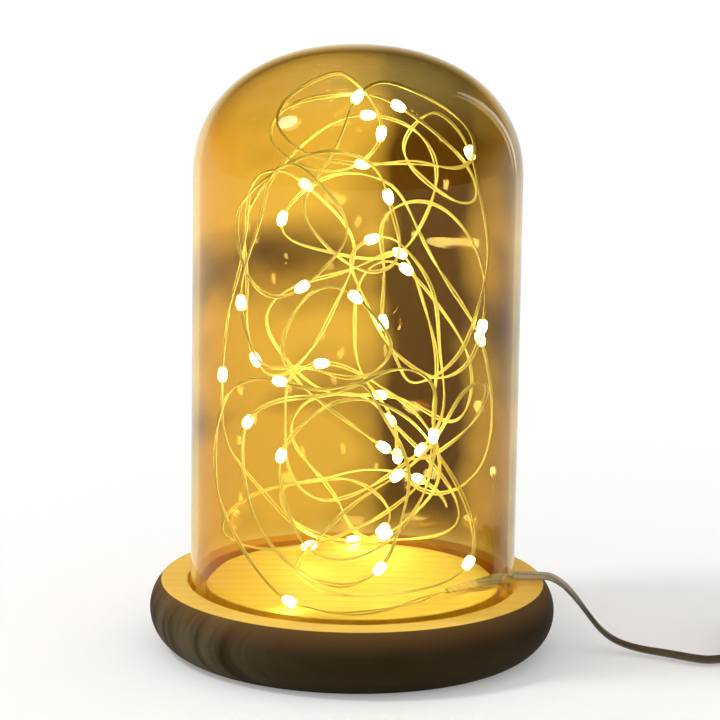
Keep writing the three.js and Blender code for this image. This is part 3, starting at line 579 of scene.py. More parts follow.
def glass_material(colours):
    """Clear amber glass, pale in front, golden at the back, with painted brown reflections and shade there.

    The painted reflections and shade are two slanting sheets at the left, a band right of the middle, a
    darkening that rises with X and Z, and clouds, added up, clipped to 0 and 1 and faded out towards the rim.
    The golden tint of the back, partly painted warm light, fades towards the rim and the top.
    """
    tree = Tree("amber_glass")
    x, y, z = tree.xyz()
    slant = tree.add("VectorMath", {"operation": "DOT_PRODUCT"})
    tree.feed(slant.inputs[0], tree.spot())
    tree.feed(slant.inputs[1], (-0.38, 0.206, 1.0))
    level = slant.outputs["Value"]
    # Painted dark reflections and shade: slanting sheets at the left, a band, a darkening to the right and
    # top, clouds
    upper, lower = tree.near(level, 0.133, 0.001, 0.017, 0.55), tree.near(level, 0.085, 0.0, 0.009, 0.35)
    at_left = tree.ramp(x, -0.012, 0.012, 1.0, 0.0)
    painted_reflections = tree.math("MULTIPLY", tree.math("ADD", upper, lower), at_left)
    band = tree.near(x, 0.022, 0.006, 0.018, 0.8)
    rightwards = tree.ramp(x, -0.015, 0.02, 0.0, 0.6)
    upwards = tree.ramp(z, 0.12, 0.15, 0.0, 0.04)
    clouds = tree.noise((16.0, 16.0, 30.0), 2.0, 0.5, turn=(0.0, 0.36, 0.0))
    for more in (band, rightwards, upwards, tree.math("MULTIPLY_ADD", clouds, 2.4, -1.15)):
        painted_reflections = tree.math("ADD", painted_reflections, more)
    painted_reflections = tree.math("MINIMUM", tree.math("MAXIMUM", painted_reflections, 0.0), 1.0)
    painted_reflections = tree.math("MULTIPLY", painted_reflections, tree.ramp(z, 0.018, 0.036, 0.25, 1.0))
    # Golden tint of the back, partly painted warm light, fading towards the rim and the top
    back = tree.math("MULTIPLY", tree.ramp(y, -0.05, 0.0), tree.ramp(z, 0.018, 0.027, 0.4, 1.0))
    back = tree.math("MULTIPLY", back, tree.ramp(z, 0.15, 0.186, 1.0, 0.55))
    behind = tree.mix(painted_reflections, colours.glass_back_tint_and_light, colours.glass_painted_reflections)
    return tree.finish(
        Base_Color=tree.mix(back, colours.glass, behind),
        Roughness=0.0,
        IOR=1.24,
        Transmission_Weight=1.0,
        Specular_Tint=colours.glass_sheen,
    )


def wire_material(colours):
    """Thin enamelled wire: golden metal with small changes of shine."""
    tree = Tree("enamelled_wire")
    speck = tree.noise(900.0, 2.0)
    return tree.finish(
        Base_Color=tree.mix(speck, colours.wire, shaded(colours.wire, 1.12)),
        Metallic=0.55,
        Roughness=tree.math("MULTIPLY_ADD", speck, 0.18, 0.28),
    )


def drop_material(colours):
    """Cast resin over a lit chip: brightest around its middle, warmer towards its ends."""
    tree = Tree("lit_resin")
    glow = tree.mark("glow")
    return tree.finish(
        Base_Color=tree.mix(glow, (0.95, 0.70, 0.34), (1.0, 0.92, 0.72)),
        Emission_Color=tree.mix(glow, (0.012, 0.006, 0.0015), colours.glow),
        Emission_Strength=205.0,
        Coat_Weight=0.4,
        Roughness=tree.math("MULTIPLY_ADD", tree.noise(1500.0, 1.0), 0.1, 0.12),
    )


def lead_material(colours):
    """Clear twin flex: a stranded core shows along each half, silvery with a painted highlight near the splice
    and dark further on.
    """
    tree = Tree("clear_twin_flex")
    core, length = tree.mark("core"), tree.mark("length")
    twist = tree.math("FRACT", tree.math("MULTIPLY_ADD", length, 420.0, tree.math("MULTIPLY", core, 1.4)))
    strands = tree.mix(tree.math("MULTIPLY", twist, 0.6), (0.16, 0.11, 0.06), (0.05, 0.035, 0.02))
    cloud = tree.noise(160.0, 3.0)
    plastic = tree.mix(cloud, colours.lead, shaded(colours.lead, 0.5))
    dark = tree.mix(tree.math("MULTIPLY", core, 0.7), plastic, strands)
    # Painted highlight: the lead is silvery near the glass
    silvered_highlight = tree.mix(tree.math("MULTIPLY", twist, core), colours.lead_painted_highlight, colours.lead)
    return tree.finish(
        Base_Color=tree.mix(tree.ramp(length, 0.026, 0.044), silvered_highlight, dark),
        Roughness=tree.math("MULTIPLY_ADD", cloud, 0.16, 0.16),
        Coat_Weight=0.5,
        Coat_Roughness=0.1,
    )


def sleeve_material():
    """Clear sleeve shrunk over twisted wires: silvery and milky in clouds."""
    tree = Tree("shrink_sleeve")
    cloud = tree.noise(500.0, 4.0)
    return tree.finish(
        Base_Color=tree.mix(cloud, (0.80, 0.68, 0.38), (0.50, 0.39, 0.20)),
        Roughness=tree.math("MULTIPLY_ADD", cloud, 0.2, 0.15),
        Coat_Weight=0.4,
        Normal=tree.bump(cloud, 0.15, 0.0002),
    )


def plastic_material(name, base, speckle, roughness, seam=None):
    """Moulded plastic with a fine spark-eroded grain, and a thin dark line at the height of a seam."""
    tree = Tree(name)
    grit = tree.noise(2600.0, 3.0)
    surface = tree.mix(tree.noise(70.0, 2.0), base, shaded(base, 1 - speckle))
    if seam is not None:
        line = tree.math("COMPARE", tree.xyz()["Z"], seam, 0.00009)
        surface = tree.mix(line, surface, shaded(base, 0.35))
    return tree.finish(
        Base_Color=surface,
        Roughness=tree.math("MULTIPLY_ADD", grit, 0.15, roughness),
        Normal=tree.bump(grit, 0.12, 0.0001),
    )


def metal_material(name, base, roughness):
    """Plated sheet metal, half dull, with brushed streaks along Y."""
    tree = Tree(name)
    streak = tree.noise(BRUSHED_ALONG_Y, 4.0)
    return tree.finish(
        Base_Color=tree.mix(streak, base, shaded(base, 0.82)),
        Metallic=0.55,
        Roughness=tree.math("MULTIPLY_ADD", streak, 0.2, roughness),
        Normal=tree.bump(streak, 0.06, 0.0001),
    )


def floor_material():
    """A pale floor that keeps shadows, lifted to white for the rays that see it."""
    tree = Tree("pale_floor")
    away = tree.add("VectorMath", {"operation": "LENGTH"}, Vector=tree.spot()).outputs["Value"]
    return tree.finish(
        Base_Color=(0.82, 0.82, 0.82),
        Roughness=0.9,
        Emission_Color=(1.0, 1.0, 1.0),
        Emission_Strength=tree.math("MULTIPLY", tree.seen(), tree.ramp(away, 0.12, 0.9, 0.24, 0.52)),
    )


class Plan:
    """Places that several pieces share, worked out from the sizes."""

    def __init__(self, sizes):
        self.inner = sizes.glass_radius - sizes.glass_wall
        self.groove_floor = sizes.base_height - sizes.groove_depth
        self.rim = self.groove_floor + sizes.rim_gap
        self.top = self.rim + sizes.glass_height
        self.shoulder = self.top - sizes.crown_height
        self.groove_inner = self.inner - sizes.groove_inner_room
        self.groove_outer = sizes.glass_radius + sizes.groove_outer_room
        self.base_top = self.groove_outer + sizes.base_ledge
        self.base_wide = self.base_top + sizes.base_bulge
        self.lead_radius = sizes.lead_width / 2
        self.lead_z = sizes.base_height + LEAD_REST + self.lead_radius
        self.notch_half = self.lead_radius + sizes.notch_room
        self.splice_way = np.array([-1.0, -1.0, 0.0]) / np.sqrt(2)
        splice_z = sizes.base_height + LEAD_REST + sizes.splice_width / 2
        splice = np.array([self.inner + SPLICE_FROM_GLASS[0], SPLICE_FROM_GLASS[1], splice_z])
        self.splice_out = splice - self.splice_way * sizes.splice_length / 2
        self.splice_in = splice + self.splice_way * sizes.splice_length / 2
        self.coil_middle = np.array([self.base_wide + COIL_FROM_BASE, COIL_SIDEWAYS, 0.0])
        self.layer_turns = COIL_TURNS / COIL_LAYERS
        self.coil_outer = COIL_INNER_RADIUS + COIL_PITCH * self.layer_turns
        self.coil_z = sizes.tie_thickness + TIE_ROOM + self.lead_radius


def settings(context):
    """The two property groups of the scene, and the places worked out from the sizes."""
    sizes = context.scene.dome_light_sizes
    return sizes, context.scene.dome_light_colours, Plan(sizes)


def make_camera(scene):
    """A camera at the photograph's angle: a distance in front of its aim, raised by an angle, and rolled."""
    elevation, roll = np.radians(CAMERA_ELEVATION), np.radians(CAMERA_ROLL)
    camera = bpy.data.objects.new("photo_camera", bpy.data.cameras.new("photo_camera"))
    scene.collection.objects.link(camera)
    camera.location = CAMERA_AIM + CAMERA_AWAY * np.array([0.0, -np.cos(elevation), np.sin(elevation)])
    tilt = Matrix.Rotation(np.pi / 2 - elevation, 3, "X") @ Matrix.Rotation(roll, 3, "Z")
    camera.rotation_euler = tilt.to_euler()
    camera.data.sensor_width = CAMERA_SENSOR
    camera.data.lens = CAMERA_LENS
    scene.camera = camera


def make_floor(scene):
    """A square floor just below the underside of the base."""
    side, z = FLOOR_HALF_SIDE, -FLOOR_BELOW
    corners = [(-side, -side, z), (side, -side, z), (side, side, z), (-side, side, z)]
    mesh = bpy.data.meshes.new("floor")
    mesh.from_pydata(corners, [], [(0, 1, 2, 3)])
    floor = bpy.data.objects.new("floor", mesh)
    scene.collection.objects.link(floor)
    mesh.materials.append(floor_material())


def make_world(scene):
    """Even white light; rays that see it find a white backdrop, dim and warm overhead and dim in front."""
    tree = Tree("studio", "worlds", "Background")
    way = tree.add("SeparateXYZ", Vector=tree.add("TexCoord").outputs["Generated"]).outputs
    seen = tree.seen()
    overhead, front = tree.ramp(way["Z"], 0.0, 0.35, 1.0, 0.17), tree.ramp(way["Y"], -0.2, 0.6, 0.12, 1.0)
    warmth = tree.math("MULTIPLY", seen, tree.ramp(way["Z"], 0.0, 0.25))
    scene.world = tree.finish(
        Color=tree.mix(warmth, (1.0, 1.0, 1.0), (1.0, 0.66, 0.24)),
        Strength=tree.ramp(seen, 0.0, 1.0, 0.68, tree.math("MULTIPLY", overhead, front)),
    )


def make_lamp(scene, name, place, aim, width, height, power):
    """A soft oval lamp at a place, turned towards a point."""
    light = bpy.data.lights.new(name, "AREA")
    light.shape = "ELLIPSE"
    light.size, light.size_y, light.energy = width, height, power
    obj = bpy.data.objects.new(name, light)
    scene.collection.objects.link(obj)
    obj.location = place
    obj.rotation_euler = (Vector(aim) - obj.location).to_track_quat("-Z", "Y").to_euler()


class DOMELIGHT_OT_stage(Operator):
    """Makes the camera, the floor, the world and the lamps"""

    bl_idname = "domelight.stage"
    bl_label = "Stage"

    def execute(self, context):
        scene = context.scene
        make_camera(scene)
        make_floor(scene)
        make_world(scene)
        for lamp in LAMPS:
            make_lamp(scene, *lamp)
        scene.view_settings.view_transform = "Standard"
        scene.cycles.use_denoising = True
        return {"FINISHED"}


def level_path(middle, y):
    """A straight path along Y through a middle."""
    return np.stack([np.full_like(y, middle[0]), y, np.full_like(y, middle[2])], axis=-1)


def plug_body():
    """The moulded plug body, of superellipse sections along its axis with grip ridges, and its seam's height.

    A section is sign · |cos|^power across and sign · |sin|^power up. Quarter circles draw in the ends, and
    the ridges are a cosine wave on the flanks, faded in away from the ends.
    """
    low, high = CASE_BOX[0], np.array([CASE_BOX[1][0], CASE_BOX[1][1], COVER_BOX[1][2]])
    middle, half = (low + high) / 2, (high - low) / 2
    y = low[1] + (high[1] - low[1]) * (0.5 - 0.5 * np.cos(np.pi * np.linspace(0, 1, PLUG_STEPS)))
    from_end = np.minimum(y - low[1], high[1] - y)
    corner = np.clip(PLUG_SOFT - from_end, 0, None)
    drawn_in = PLUG_SOFT - np.sqrt(np.clip(PLUG_SOFT**2 - corner**2, 0, None))
    in_grip = smooth((from_end - GRIP_FROM_END) / GRIP_FADE)
    ridge = GRIP_DEPTH * in_grip * (0.5 - 0.5 * np.cos(2 * np.pi * (y - low[1]) / GRIP_PITCH))
    across, up = (np.sign(way) * np.abs(way) ** PLUG_SQUARE for way in circle(around(PLUG_SIDES)).T)
    flank = np.abs(across) ** PLUG_FLANK
    x = (half[0] - drawn_in)[:, None] * across - ridge[:, None] * flank * np.sign(across)
    z = (half[2] - drawn_in)[:, None] * up
    return sweep(level_path(middle, y), np.stack([x, z], axis=-1)), middle[2]


def plug_relief():
    """The strain relief: a cone cut by rounded rings, radius = cone - depth · ring wave - lip."""
    low, high = GLAND_BOX
    y = np.linspace(low[1], high[1], RELIEF_STEPS)
    from_plug, from_mouth = CASE_BOX[0][1] - y, y - low[1]
    cone = (high[0] - low[0]) / 2 - RELIEF_TAPER * np.clip(from_plug / (CASE_BOX[0][1] - low[1]), 0, 1)
    wave = smooth(1.6 * np.cos(2 * np.pi * from_plug / RING_PITCH + RING_START) - 0.2)
    clear = (from_plug > RING_FROM_PLUG) & (from_mouth > RING_FROM_MOUTH)
    cut = np.where(clear, RING_DEPTH, 0.0) * wave
    lip = RELIEF_LIP * np.clip(1 - from_mouth / RELIEF_LIP, 0, 1) ** 2
    section = circle(around(RELIEF_SIDES))
    return sweep(level_path((low + high) / 2, y), (cone - cut - lip)[:, None, None] * section)


def dress(nodes, material):
    """Gives CAD solids a material."""
    for name in nodes:
        NODES[name].data.materials.clear()
        NODES[name].data.materials.append(material)


class DOMELIGHT_OT_plug(Operator):
    """Makes the plug body and its strain relief, and finishes the shell, its contacts and the coil ties"""

    bl_idname = "domelight.plug"
    bl_label = "Plug and ties"

    def execute(self, context):
        _, colours, _ = settings(context)
        body, seam = plug_body()
        plastic = plastic_material("plug_plastic", colours.plug, 0.08, 0.38, seam)
        piece("plug_body", body, "base", plastic, ("plug_case", "plug_cover"))
        plastic = plastic_material("relief_plastic", colours.plug, 0.1, 0.45)
        piece("plug_relief", plug_relief(), "base", plastic, ("plug_gland",))
        for name, base, speckle, roughness, nodes in SOLID_PLASTICS:
            dress(nodes, plastic_material(name, base, speckle, roughness))
        for name, base, roughness, nodes in SOLID_METALS:
            dress(nodes, metal_material(name, base, roughness))
        return {"FINISHED"}


def coil_points(turns, plan):
    """Points of the lead's coil: layers spiral in and out in turn, with half a turn of climb between them."""
    layer = np.minimum(np.floor(turns / plan.layer_turns), COIL_LAYERS - 1)
    within = turns - layer * plan.layer_turns
    late = plan.layer_turns - within
    inwards, outwards = plan.coil_outer - COIL_PITCH * within, COIL_INNER_RADIUS + COIL_PITCH * within
    radius = np.where(layer % 2 == 0, inwards, outwards)
    still_below = COIL_PITCH * (1 - smooth(0.5 + within / (2 * COIL_CLIMB)))
    already_up = COIL_PITCH * smooth(0.5 - late / (2 * COIL_CLIMB))
    z = plan.coil_z + COIL_PITCH * layer
    z = z - np.where((within < COIL_CLIMB) & (layer > 0), still_below, 0)
    z = z + np.where((late < COIL_CLIMB) & (layer < COIL_LAYERS - 1), already_up, 0)
    angle = -np.pi / 2 + 2 * np.pi * turns
    return plan.coil_middle + np.stack([radius * np.cos(angle), radius * np.sin(angle), z], axis=-1)


def lead_path(sizes, plan):
    """The lead from the splice, through the notch, down to the table, round its coil and into the plug.

    Smooth lines through a few points lead to and from the coil.
    """
    width = sizes.lead_width
    coil = coil_points(np.linspace(0, COIL_TURNS, int(COIL_TURNS * COIL_STEPS) + 1), plan)
    first, last = unit(coil[0] - coil[1]), unit(coil[-1] - coil[-2])
    inner = plan.splice_out - plan.splice_way * END_GAP
    through = np.array(
        [
            (plan.inner - 1.25 * width, -0.0006, plan.lead_z),
            (plan.inner - 0.001, 0.0, plan.lead_z),
            (sizes.glass_radius + 0.001, 0.0, plan.lead_z),
            (plan.base_top - width, 0.0, plan.lead_z),
        ]
    )
    outside = LEAD_ROUTE + np.array([plan.base_wide, 0.0, 0.0])
    run = np.vstack([inner, inner - plan.splice_way * width, through, outside, coil[0] + first * width])
    (mouth, plug), (x, _, z) = GLAND_BOX[:, 1], GLAND_BOX.mean(0)
    into = np.array([(x, mouth - 2 * width, z + 0.0006), (x, mouth - width, z), (x, plug - 0.002, z)])
    before = smooth_line(np.vstack([run, coil[:1]]), LEAD_STEPS)
    after = smooth_line(np.vstack([coil[-1:], coil[-1] + last * width, into]), LEAD_STEPS)
    return np.vstack([before[:-1], coil, after[1:]])


def lead_sections(angle, lengths, plan):
    """Sections of the flat twin lead at lengths along it: an ellipse with a waist, turned about the path.

    The waist narrows the ellipse by a bell curve of |sin| about 1. The turn is 2π · length / twist plus sway.
    """
    waist = 1 - LEAD_WAIST * np.exp(-((np.abs(np.sin(angle)) - 1) ** 2) / LEAD_WAIST_SPREAD)
    x, y = plan.lead_radius * np.stack([np.cos(angle), LEAD_FLATNESS * np.sin(angle) * waist])
    twist = 2 * np.pi * lengths / LEAD_TWIST + LEAD_SWAY * np.sin(lengths / LEAD_SWAY_LENGTH) + LEAD_START
    c, s = np.cos(twist)[:, None], np.sin(twist)[:, None]
    return np.stack([c * x - s * y, s * x + c * y], axis=-1)


class DOMELIGHT_OT_lead(Operator):
    """Makes the clear twin lead as one cord from the splice to the plug"""

    bl_idname = "domelight.lead"
    bl_label = "Lead"

    def execute(self, context):
        sizes, colours, plan = settings(context)
        path = lead_path(sizes, plan)
        lengths = lengths_along(path)
        angle = around(LEAD_SIDES)
        core = np.exp(-((np.abs(np.cos(angle)) - CORE_PLACE) ** 2) / CORE_SPREAD)
        marks = {
            "core": np.concatenate([np.tile(core, len(path)), [0, 0]]),
            "length": np.concatenate([np.repeat(lengths, len(angle)), [0, lengths[-1]]]),
        }
        shape = sweep(path, lead_sections(angle, lengths, plan))
        replaced = ("lead_run", "lead_coil", "lead_tail")
        lead = piece("twin_lead", shape, "base", lead_material(colours), replaced, marks)
        on_lead = [bpy.data.objects[name] for name in ("plug_body", "plug_relief")]
        on_lead += [NODES[name] for name in ("usb_shell", "usb_tongue", "plug_board", "board_resistor")]
        on_lead += [NODES[name] for name in (*TIE_NODES, *CONTACT_NODES)]
        return {"FINISHED"}


def side_arc(radius, z, end_radius, end_z, steps):
    """An arc that leaves the widest circle upright and ends at another radius and height.

    Its own radius is (inward² + rise²) / (2 · inward).
    """
    inward, rise = radius - end_radius, end_z - z
    curve = (inward**2 + rise**2) / (2 * inward)
    angle = np.arcsin(rise / curve) * np.linspace(0, 1, steps + 1)
    return np.stack([radius - curve + curve * np.cos(angle), z + curve * np.sin(angle)], axis=-1)


def base_profile(sizes, plan):
    """Half section of the base from the middle of its underside to the middle of its top.

    Two arcs meet at the widest circle. The groove is cut into the flat top, and the corners are rounded.
    """
    foot = plan.base_wide - sizes.foot_inset
    lower = side_arc(plan.base_wide, sizes.belly_height, foot, 0.0, LOWER_STEPS)[::-1]
    upper = side_arc(plan.base_wide, sizes.belly_height, plan.base_top, sizes.base_height, UPPER_STEPS)
    top = np.array(
        [
            (plan.groove_outer, sizes.base_height),
            (plan.groove_outer, plan.groove_floor),
            (plan.groove_inner, plan.groove_floor),
            (plan.groove_inner, sizes.base_height),
            (0.0, sizes.base_height),
        ]
    )
    corners = np.vstack([[(0.0, 0.0)], lower, upper[1:], top])
    radii = np.zeros(len(corners) - 2)
    radii[0] = FOOT_ROUNDING
    radii[len(lower) + len(upper) - 2] = EDGE_ROUNDING
    radii[-4:] = GROOVE_ROUNDINGS
    return filleted(corners, radii)


def base_marks(points, sizes, plan):
    """Marks of the base's points: stain_and_shade and inside.

    stain_and_shade is 0 on the bare top and in the groove, else 1 less some wear, which fades exponentially
    downwards; it marks the stained side, which is partly painted shade.
    inside is 1 on the floor under the glass, where the wood is painted paler with the drops' light, else 0.
    """
    radius, z = np.hypot(points[:, 0], points[:, 1]), points[:, 2]
    in_groove = (radius < plan.groove_outer + BARE_LIP) & (z > plan.groove_floor - GROOVE_DEPTH_ROOM)
    bare = (z > sizes.base_height - BARE_DEPTH) | in_groove
    worn = WEAR * np.exp((z - sizes.base_height) / WEAR_DEPTH)
    # The floor under the glass takes painted light of the drops
    inside = (radius < plan.groove_inner + INSIDE_LIP) & (z > sizes.base_height - INSIDE_DEPTH)
    return {"stain_and_shade": np.where(bare, 0.0, 1.0 - worn), "inside": np.where(inside, 1.0, 0.0)}


class DOMELIGHT_OT_base(Operator):
    """Makes the turned wooden base with its bullnose side and groove"""

    bl_idname = "domelight.base"
    bl_label = "Wooden base"

    def execute(self, context):
        sizes, colours, plan = settings(context)
        shape = turned(base_profile(sizes, plan), around(sizes.segments))
        marks = base_marks(shape[0], sizes, plan)
        piece("turned_base", shape, "base", wood_material(colours), ("wood_base",), marks)
        return {"FINISHED"}


def dome_azimuths(sizes, plan):
    """Azimuths of the bell's sections: even steps, and half angle · sine of even steps over the notch."""
    edge = np.arcsin(plan.notch_half / sizes.glass_radius)
    fine = np.sin(np.linspace(-np.pi / 2, np.pi / 2, NOTCH_STEPS)) * NOTCH_WITHIN
    fine = edge * np.concatenate([fine, [-NOTCH_BEYOND, NOTCH_BEYOND]])
    coarse = around(sizes.segments)
    coarse = coarse[(coarse > NOTCH_MARGIN * edge) & (coarse < 2 * np.pi - NOTCH_MARGIN * edge)]
    return np.sort(np.concatenate([np.mod(fine, 2 * np.pi), coarse]))


def dome_sections(azimuth, sizes, plan):
    """Half sections of the bell, from the top of its inside, round its rim, to the top of its outside.

    The crown is a superellipse, cos^(2/p) across and sin^(2/p) up. The rim is a half circle. Over the notch
    it is raised to an arch, lead height + sqrt(half width² - sideways²).
    """
    half = plan.notch_half
    sideways = sizes.glass_radius * np.sin(azimuth)
    in_notch = (np.abs(sideways) < half) & (np.cos(azimuth) > 0)
    arch = plan.lead_z + np.sqrt(np.clip(half**2 - sideways**2, 0, None))
    bead = sizes.glass_wall / 2
    start = (np.where(in_notch, arch, plan.rim) + bead)[:, None]
    wall_z = start + (plan.shoulder - start) * np.linspace(0, 1, WALL_STEPS)[:-1]
    quarter, power = np.linspace(0, np.pi / 2, CROWN_STEPS), 2 / sizes.crown_power
    crown = circle(quarter)
    crown[-1, 0] = 0.0
    crown **= power

    def side(radius, crown_height):
        """One face of the glass, from its rim to its top."""
        wall = np.stack([np.full_like(wall_z, radius), wall_z], axis=-1)
        above = np.stack([radius * crown[:, 0], plan.shoulder + crown_height * crown[:, 1]], axis=-1)
        return np.concatenate([wall, np.broadcast_to(above, (len(azimuth), *above.shape))], axis=1)

    roll = np.linspace(np.pi, 2 * np.pi, RIM_STEPS)[1:-1]
    lip_z = start + bead * np.sin(roll)
    lip = np.stack([np.broadcast_to(plan.inner + bead + bead * np.cos(roll), lip_z.shape), lip_z], axis=-1)
    inside = side(plan.inner, sizes.crown_height - sizes.glass_wall)[:, ::-1]
    return np.concatenate([inside, lip, side(sizes.glass_radius, sizes.crown_height)], axis=1)


class DOMELIGHT_OT_dome(Operator):
    """Makes the glass bell with its rounded rim and the notch for the lead"""

    bl_idname = "domelight.dome"
    bl_label = "Glass dome"

    def execute(self, context):
        sizes, colours, plan = settings(context)
        azimuth = dome_azimuths(sizes, plan)
        shape = turned(dome_sections(azimuth, sizes, plan), azimuth)
        piece("glass_bell", shape, "dome", glass_material(colours), ("glass_dome",))
        return {"FINISHED"}


def rippled(ripples, place, turns):
    """The sum of size · sin(2π · place / length + drift · turns) over some ripples."""
    size, length, drift = ripples.T[:, :, None]
    return (size * np.sin(2 * np.pi * place / length + drift * turns)).sum(axis=0)


def loop_points(turns, sizes, plan):
    """Points of the string's loops after numbers of turns.

    Each loop is an ellipse seen from the front. Its middle and half sizes swing from one row of the table to
    the next, and ripples push it out of true, less so near the glass. Its width is fitted to the free radius
    at its height. Its depth is a share of the half chord at its place, which grows steadily with the turns
    and has two waves that tilt it.
    """
    swing_at = np.cumsum(STRING_LOOPS[:-1, 4])
    swings = smooth((turns[:, None] - swing_at) / LOOP_SWING + 0.5)
    row = STRING_LOOPS[0, :4] + swings @ np.diff(STRING_LOOPS[:, :4], axis=0)
    middle, height, half_width, half_height = row.T
    angle = -np.pi / 2 - 2 * np.pi * turns
    oval_across = middle + half_width * np.cos(angle)
    oval_up = height + half_height * np.sin(angle)
    fade_across = np.clip(1 - (oval_across / LOOP_FIELD_RADIUS) ** 2, 0, 1)
    fade_up = np.clip(1 - (2 * oval_up / LOOP_FIELD_HEIGHT - 1) ** 2, 0, 1)
    across = oval_across + fade_across * rippled(RIPPLES_ACROSS, oval_up, turns)
    up = oval_up + fade_up * rippled(RIPPLES_UP, oval_across, turns)
    room = plan.top - sizes.glass_wall - WIRE_TO_GLASS - sizes.base_height
    z = sizes.base_height + up * room / LOOP_FIELD_HEIGHT
    rise = np.clip((z - plan.shoulder) / (sizes.crown_height - sizes.glass_wall - WIRE_TO_GLASS), 0, 1)
    radius = (plan.inner - WIRE_TO_GLASS) * (1 - rise**sizes.crown_power) ** (1 / sizes.crown_power)
    x = across / LOOP_FIELD_RADIUS * radius
    depth = DEPTH_FRONT + (DEPTH_BACK - DEPTH_FRONT) * turns / STRING_LOOPS[:, 4].sum()
    depth = depth + WAVE_ACROSS * np.sin(2 * np.pi * across / WAVE_WIDTH)
    depth = depth + WAVE_UP * np.sin(2 * np.pi * up / WAVE_HEIGHT)
    y = np.sqrt(np.clip(radius**2 - x**2, 0, None)) * depth
    return np.stack([x, y, z], axis=-1)


def string_path(sizes, plan, steps):
    """The whole line of the string: out of the splice, a cubic Bezier run over the wood, then the loops."""
    total = STRING_LOOPS[:, 4].sum()
    count = int(round(total * steps))
    loops = loop_points(total * np.arange(count + 1) / count, sizes, plan)
    start = plan.splice_in + plan.splice_way * END_GAP
    straight = start + plan.splice_way * sizes.wire_width
    leave = straight + plan.splice_way * FLOOR_RUN_PULL
    leave[2] = sizes.base_height + LEAD_REST + sizes.wire_width / 2
    early = loop_points(np.array([0.0, 1.0 / CAD_STEPS]), sizes, plan)
    reach = loops[0] + unit(early[0] - early[1]) * FLOOR_RUN_PULL
    t = np.linspace(0, 1, max(12, steps // 2))[:, None]
    run = (1 - t) ** 3 * straight + 3 * (1 - t) ** 2 * t * leave
    run = run + 3 * (1 - t) * t**2 * reach + t**3 * loops[0]
    return np.vstack([start, run, loops[1:]])


def string_pair(sizes, plan):
    """The two wires of the string: tubes on either side of its line that wind round it.

    The turn is 2π · length / twist plus a sway, and the spacing swings by a sine of the length.
    """
    path = string_path(sizes, plan, WIRE_STEPS)
    lengths = lengths_along(path)
    _, across, other = frames_along(path)
    twist = (2 * np.pi * lengths / WIRE_TWIST + WIRE_SWAY * np.sin(lengths / WIRE_SWAY_LENGTH))[:, None]
    apart = np.cos(twist) * across + np.sin(twist) * other
    spread = sizes.strand_apart / 2 * (1 + WIRE_SWING * np.sin(lengths / WIRE_SWING_LENGTH))[:, None]
    section = sizes.strand_width / 2 * circle(around(WIRE_SIDES))
    one, faces = sweep(path + apart * spread, section)
    two, _ = sweep(path - apart * spread, section)
    return np.vstack([one, two]), faces + [block + len(one) for block in faces]


class DOMELIGHT_OT_string(Operator):
    """Makes the two enamelled wires of the light string"""

    bl_idname = "domelight.string"
    bl_label = "String wires"

    def execute(self, context):
        sizes, colours, plan = settings(context)
        shape = string_pair(sizes, plan)
        piece("string_pair", shape, "base", wire_material(colours), ("string_wire",))
        return {"FINISHED"}


def drop_middles(sizes, plan, length):
    """Lengths along the string's line at the middles of its drops: even spacing plus a sine of the number.

    They are worked out on the coarser line of the CAD model and stretched to a line of another length.
    """
    cad_length = lengths_along(string_path(sizes, plan, CAD_STEPS))[-1]
    stretch = length / cad_length
    number = np.arange(len(BEAD_NODES))
    last = length / stretch - sizes.drop_to_end
    even = sizes.drop_first + (last - sizes.drop_first) * number / number[-1]
    return stretch * (even + sizes.drop_sway * np.sin(sizes.drop_sway_step * number))


def light_drops(sizes, plan):
    """The drops and the glow of each of their points: rings about the string's line, closed at both ends.

    With s from -1 to 1 along a drop, radius = tip + (half width - tip) · sqrt(1 - s²) · (1 - lean · s).
    The glow is 1 - s² to a power, and 0 at the tips.
    """
    path = string_path(sizes, plan, DROP_STEPS)
    lengths = lengths_along(path)
    share = np.sin(np.linspace(-np.pi / 2, np.pi / 2, DROP_RINGS))
    places = drop_middles(sizes, plan, lengths[-1])[:, None] + share * sizes.drop_length / 2
    centres = at_length(path, lengths, places)
    _, across, other = (at_length(vectors, lengths, places)[:, :, None] for vectors in frames_along(path))
    angle = around(DROP_SIDES)[:, None]
    radius = DROP_TIP + (sizes.drop_width / 2 - DROP_TIP) * np.sqrt(1 - share**2) * (1 - DROP_LEAN * share)
    points = centres[:, :, None] + radius[:, None, None] * (np.cos(angle) * across + np.sin(angle) * other)
    tips = centres[:, [0, -1]].reshape(-1, 3)
    count, rings, sides = points.shape[:3]
    starts = rings * sides * np.arange(count)
    faces = [(grid_quads(rings, sides) + starts[:, None, None]).reshape(-1, 4)]
    first_tips, last_tips = (rings * sides * count + np.arange(2 * count)).reshape(count, 2).T
    last_rings = starts + (rings - 1) * sides
    faces += [cap_fan(start, sides, tip, False) for start, tip in zip(starts, first_tips)]
    faces += [cap_fan(start, sides, tip, True) for start, tip in zip(last_rings, last_tips)]
    glow = np.broadcast_to((1 - share**2)[None, :, None] ** DROP_GLOW, points.shape[:3])
    glow = np.concatenate([glow.ravel(), np.zeros(len(tips))])
    return (np.vstack([points.reshape(-1, 3), tips]), faces), glow


class DOMELIGHT_OT_drops(Operator):
    """Makes the lit resin drops along the string"""

    bl_idname = "domelight.drops"
    bl_label = "Light drops"

    def execute(self, context):
        sizes, colours, plan = settings(context)
        shape, glow = light_drops(sizes, plan)
        piece("light_drops", shape, "base", drop_material(colours), BEAD_NODES, {"glow": glow})
        return {"FINISHED"}


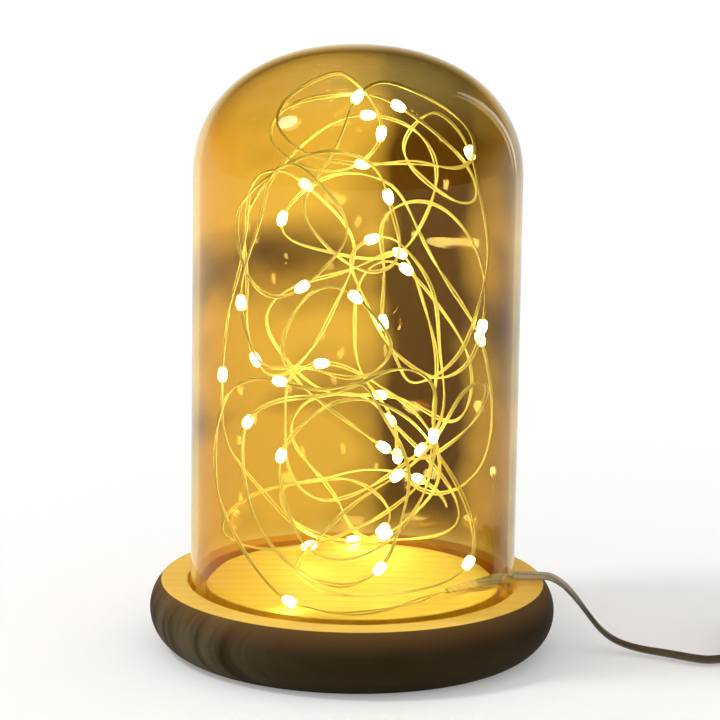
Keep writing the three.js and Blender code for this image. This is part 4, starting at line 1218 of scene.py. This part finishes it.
def shrink_sleeve(sizes, plan):
    """The sleeve over the joint: lobes that turn along it, slimmer towards the string.

    radius = half width · slimness · (least + more · |cos(angle - turn)|^power)
    """
    share = np.linspace(0, 1, SLEEVE_STEPS)[:, None]
    path = plan.splice_out + (plan.splice_in - plan.splice_out) * share
    slim = 1.0 - SLEEVE_TAPER * smooth(share * 1.1 - 0.1)
    angle = around(SLEEVE_SIDES)
    lobes = LOBE_LEAST + LOBE_MORE * np.abs(np.cos(angle - 2 * np.pi * SLEEVE_TURNS * share)) ** LOBE_POWER
    return sweep(path, (sizes.splice_width / 2 * slim * lobes)[..., None] * circle(angle))


class DOMELIGHT_OT_splice(Operator):
    """Makes the twisted joint of lead and string under its shrunk sleeve"""

    bl_idname = "domelight.splice"
    bl_label = "Splice sleeve"

    def execute(self, context):
        sizes, _, plan = settings(context)
        shape = shrink_sleeve(sizes, plan)
        piece("shrink_sleeve", shape, "base", sleeve_material(), ("splice_sleeve",))
        return {"FINISHED"}


OPERATORS = (
    DOMELIGHT_OT_stage,
    DOMELIGHT_OT_plug,
    DOMELIGHT_OT_lead,
    DOMELIGHT_OT_base,
    DOMELIGHT_OT_dome,
    DOMELIGHT_OT_string,
    DOMELIGHT_OT_drops,
    DOMELIGHT_OT_splice,
)


class DOMELIGHT_PT_panel(Panel):
    """Lists the pieces of the light, its sizes and its colours"""

    bl_label = "Glass Dome Light"
    bl_idname = "DOMELIGHT_PT_panel"
    bl_space_type = "VIEW_3D"
    bl_region_type = "UI"
    bl_category = "Dome Light"

    def draw(self, context):
        for operator in OPERATORS:
            self.layout.operator(operator.bl_idname)
        for group in (context.scene.dome_light_sizes, context.scene.dome_light_colours):
            column = self.layout.column()
            for name in group.__annotations__:
                column.prop(group, name)


CLASSES = (DomeLightSizes, DomeLightColours) + OPERATORS + (DOMELIGHT_PT_panel,)


def register():
    """Registers the classes and puts the two property groups on the scene."""
    for cls in CLASSES:
        bpy.utils.register_class(cls)
    bpy.types.Scene.dome_light_sizes = PointerProperty(type=DomeLightSizes)
    bpy.types.Scene.dome_light_colours = PointerProperty(type=DomeLightColours)


def unregister():
    """Takes away what register adds."""
    del bpy.types.Scene.dome_light_colours
    del bpy.types.Scene.dome_light_sizes
    for cls in reversed(CLASSES):
        bpy.utils.unregister_class(cls)


def main():
    register()
    for operator in OPERATORS:
        group, name = operator.bl_idname.split(".")
        getattr(getattr(bpy.ops, group), name)()


if __name__ == "__main__":
    main()
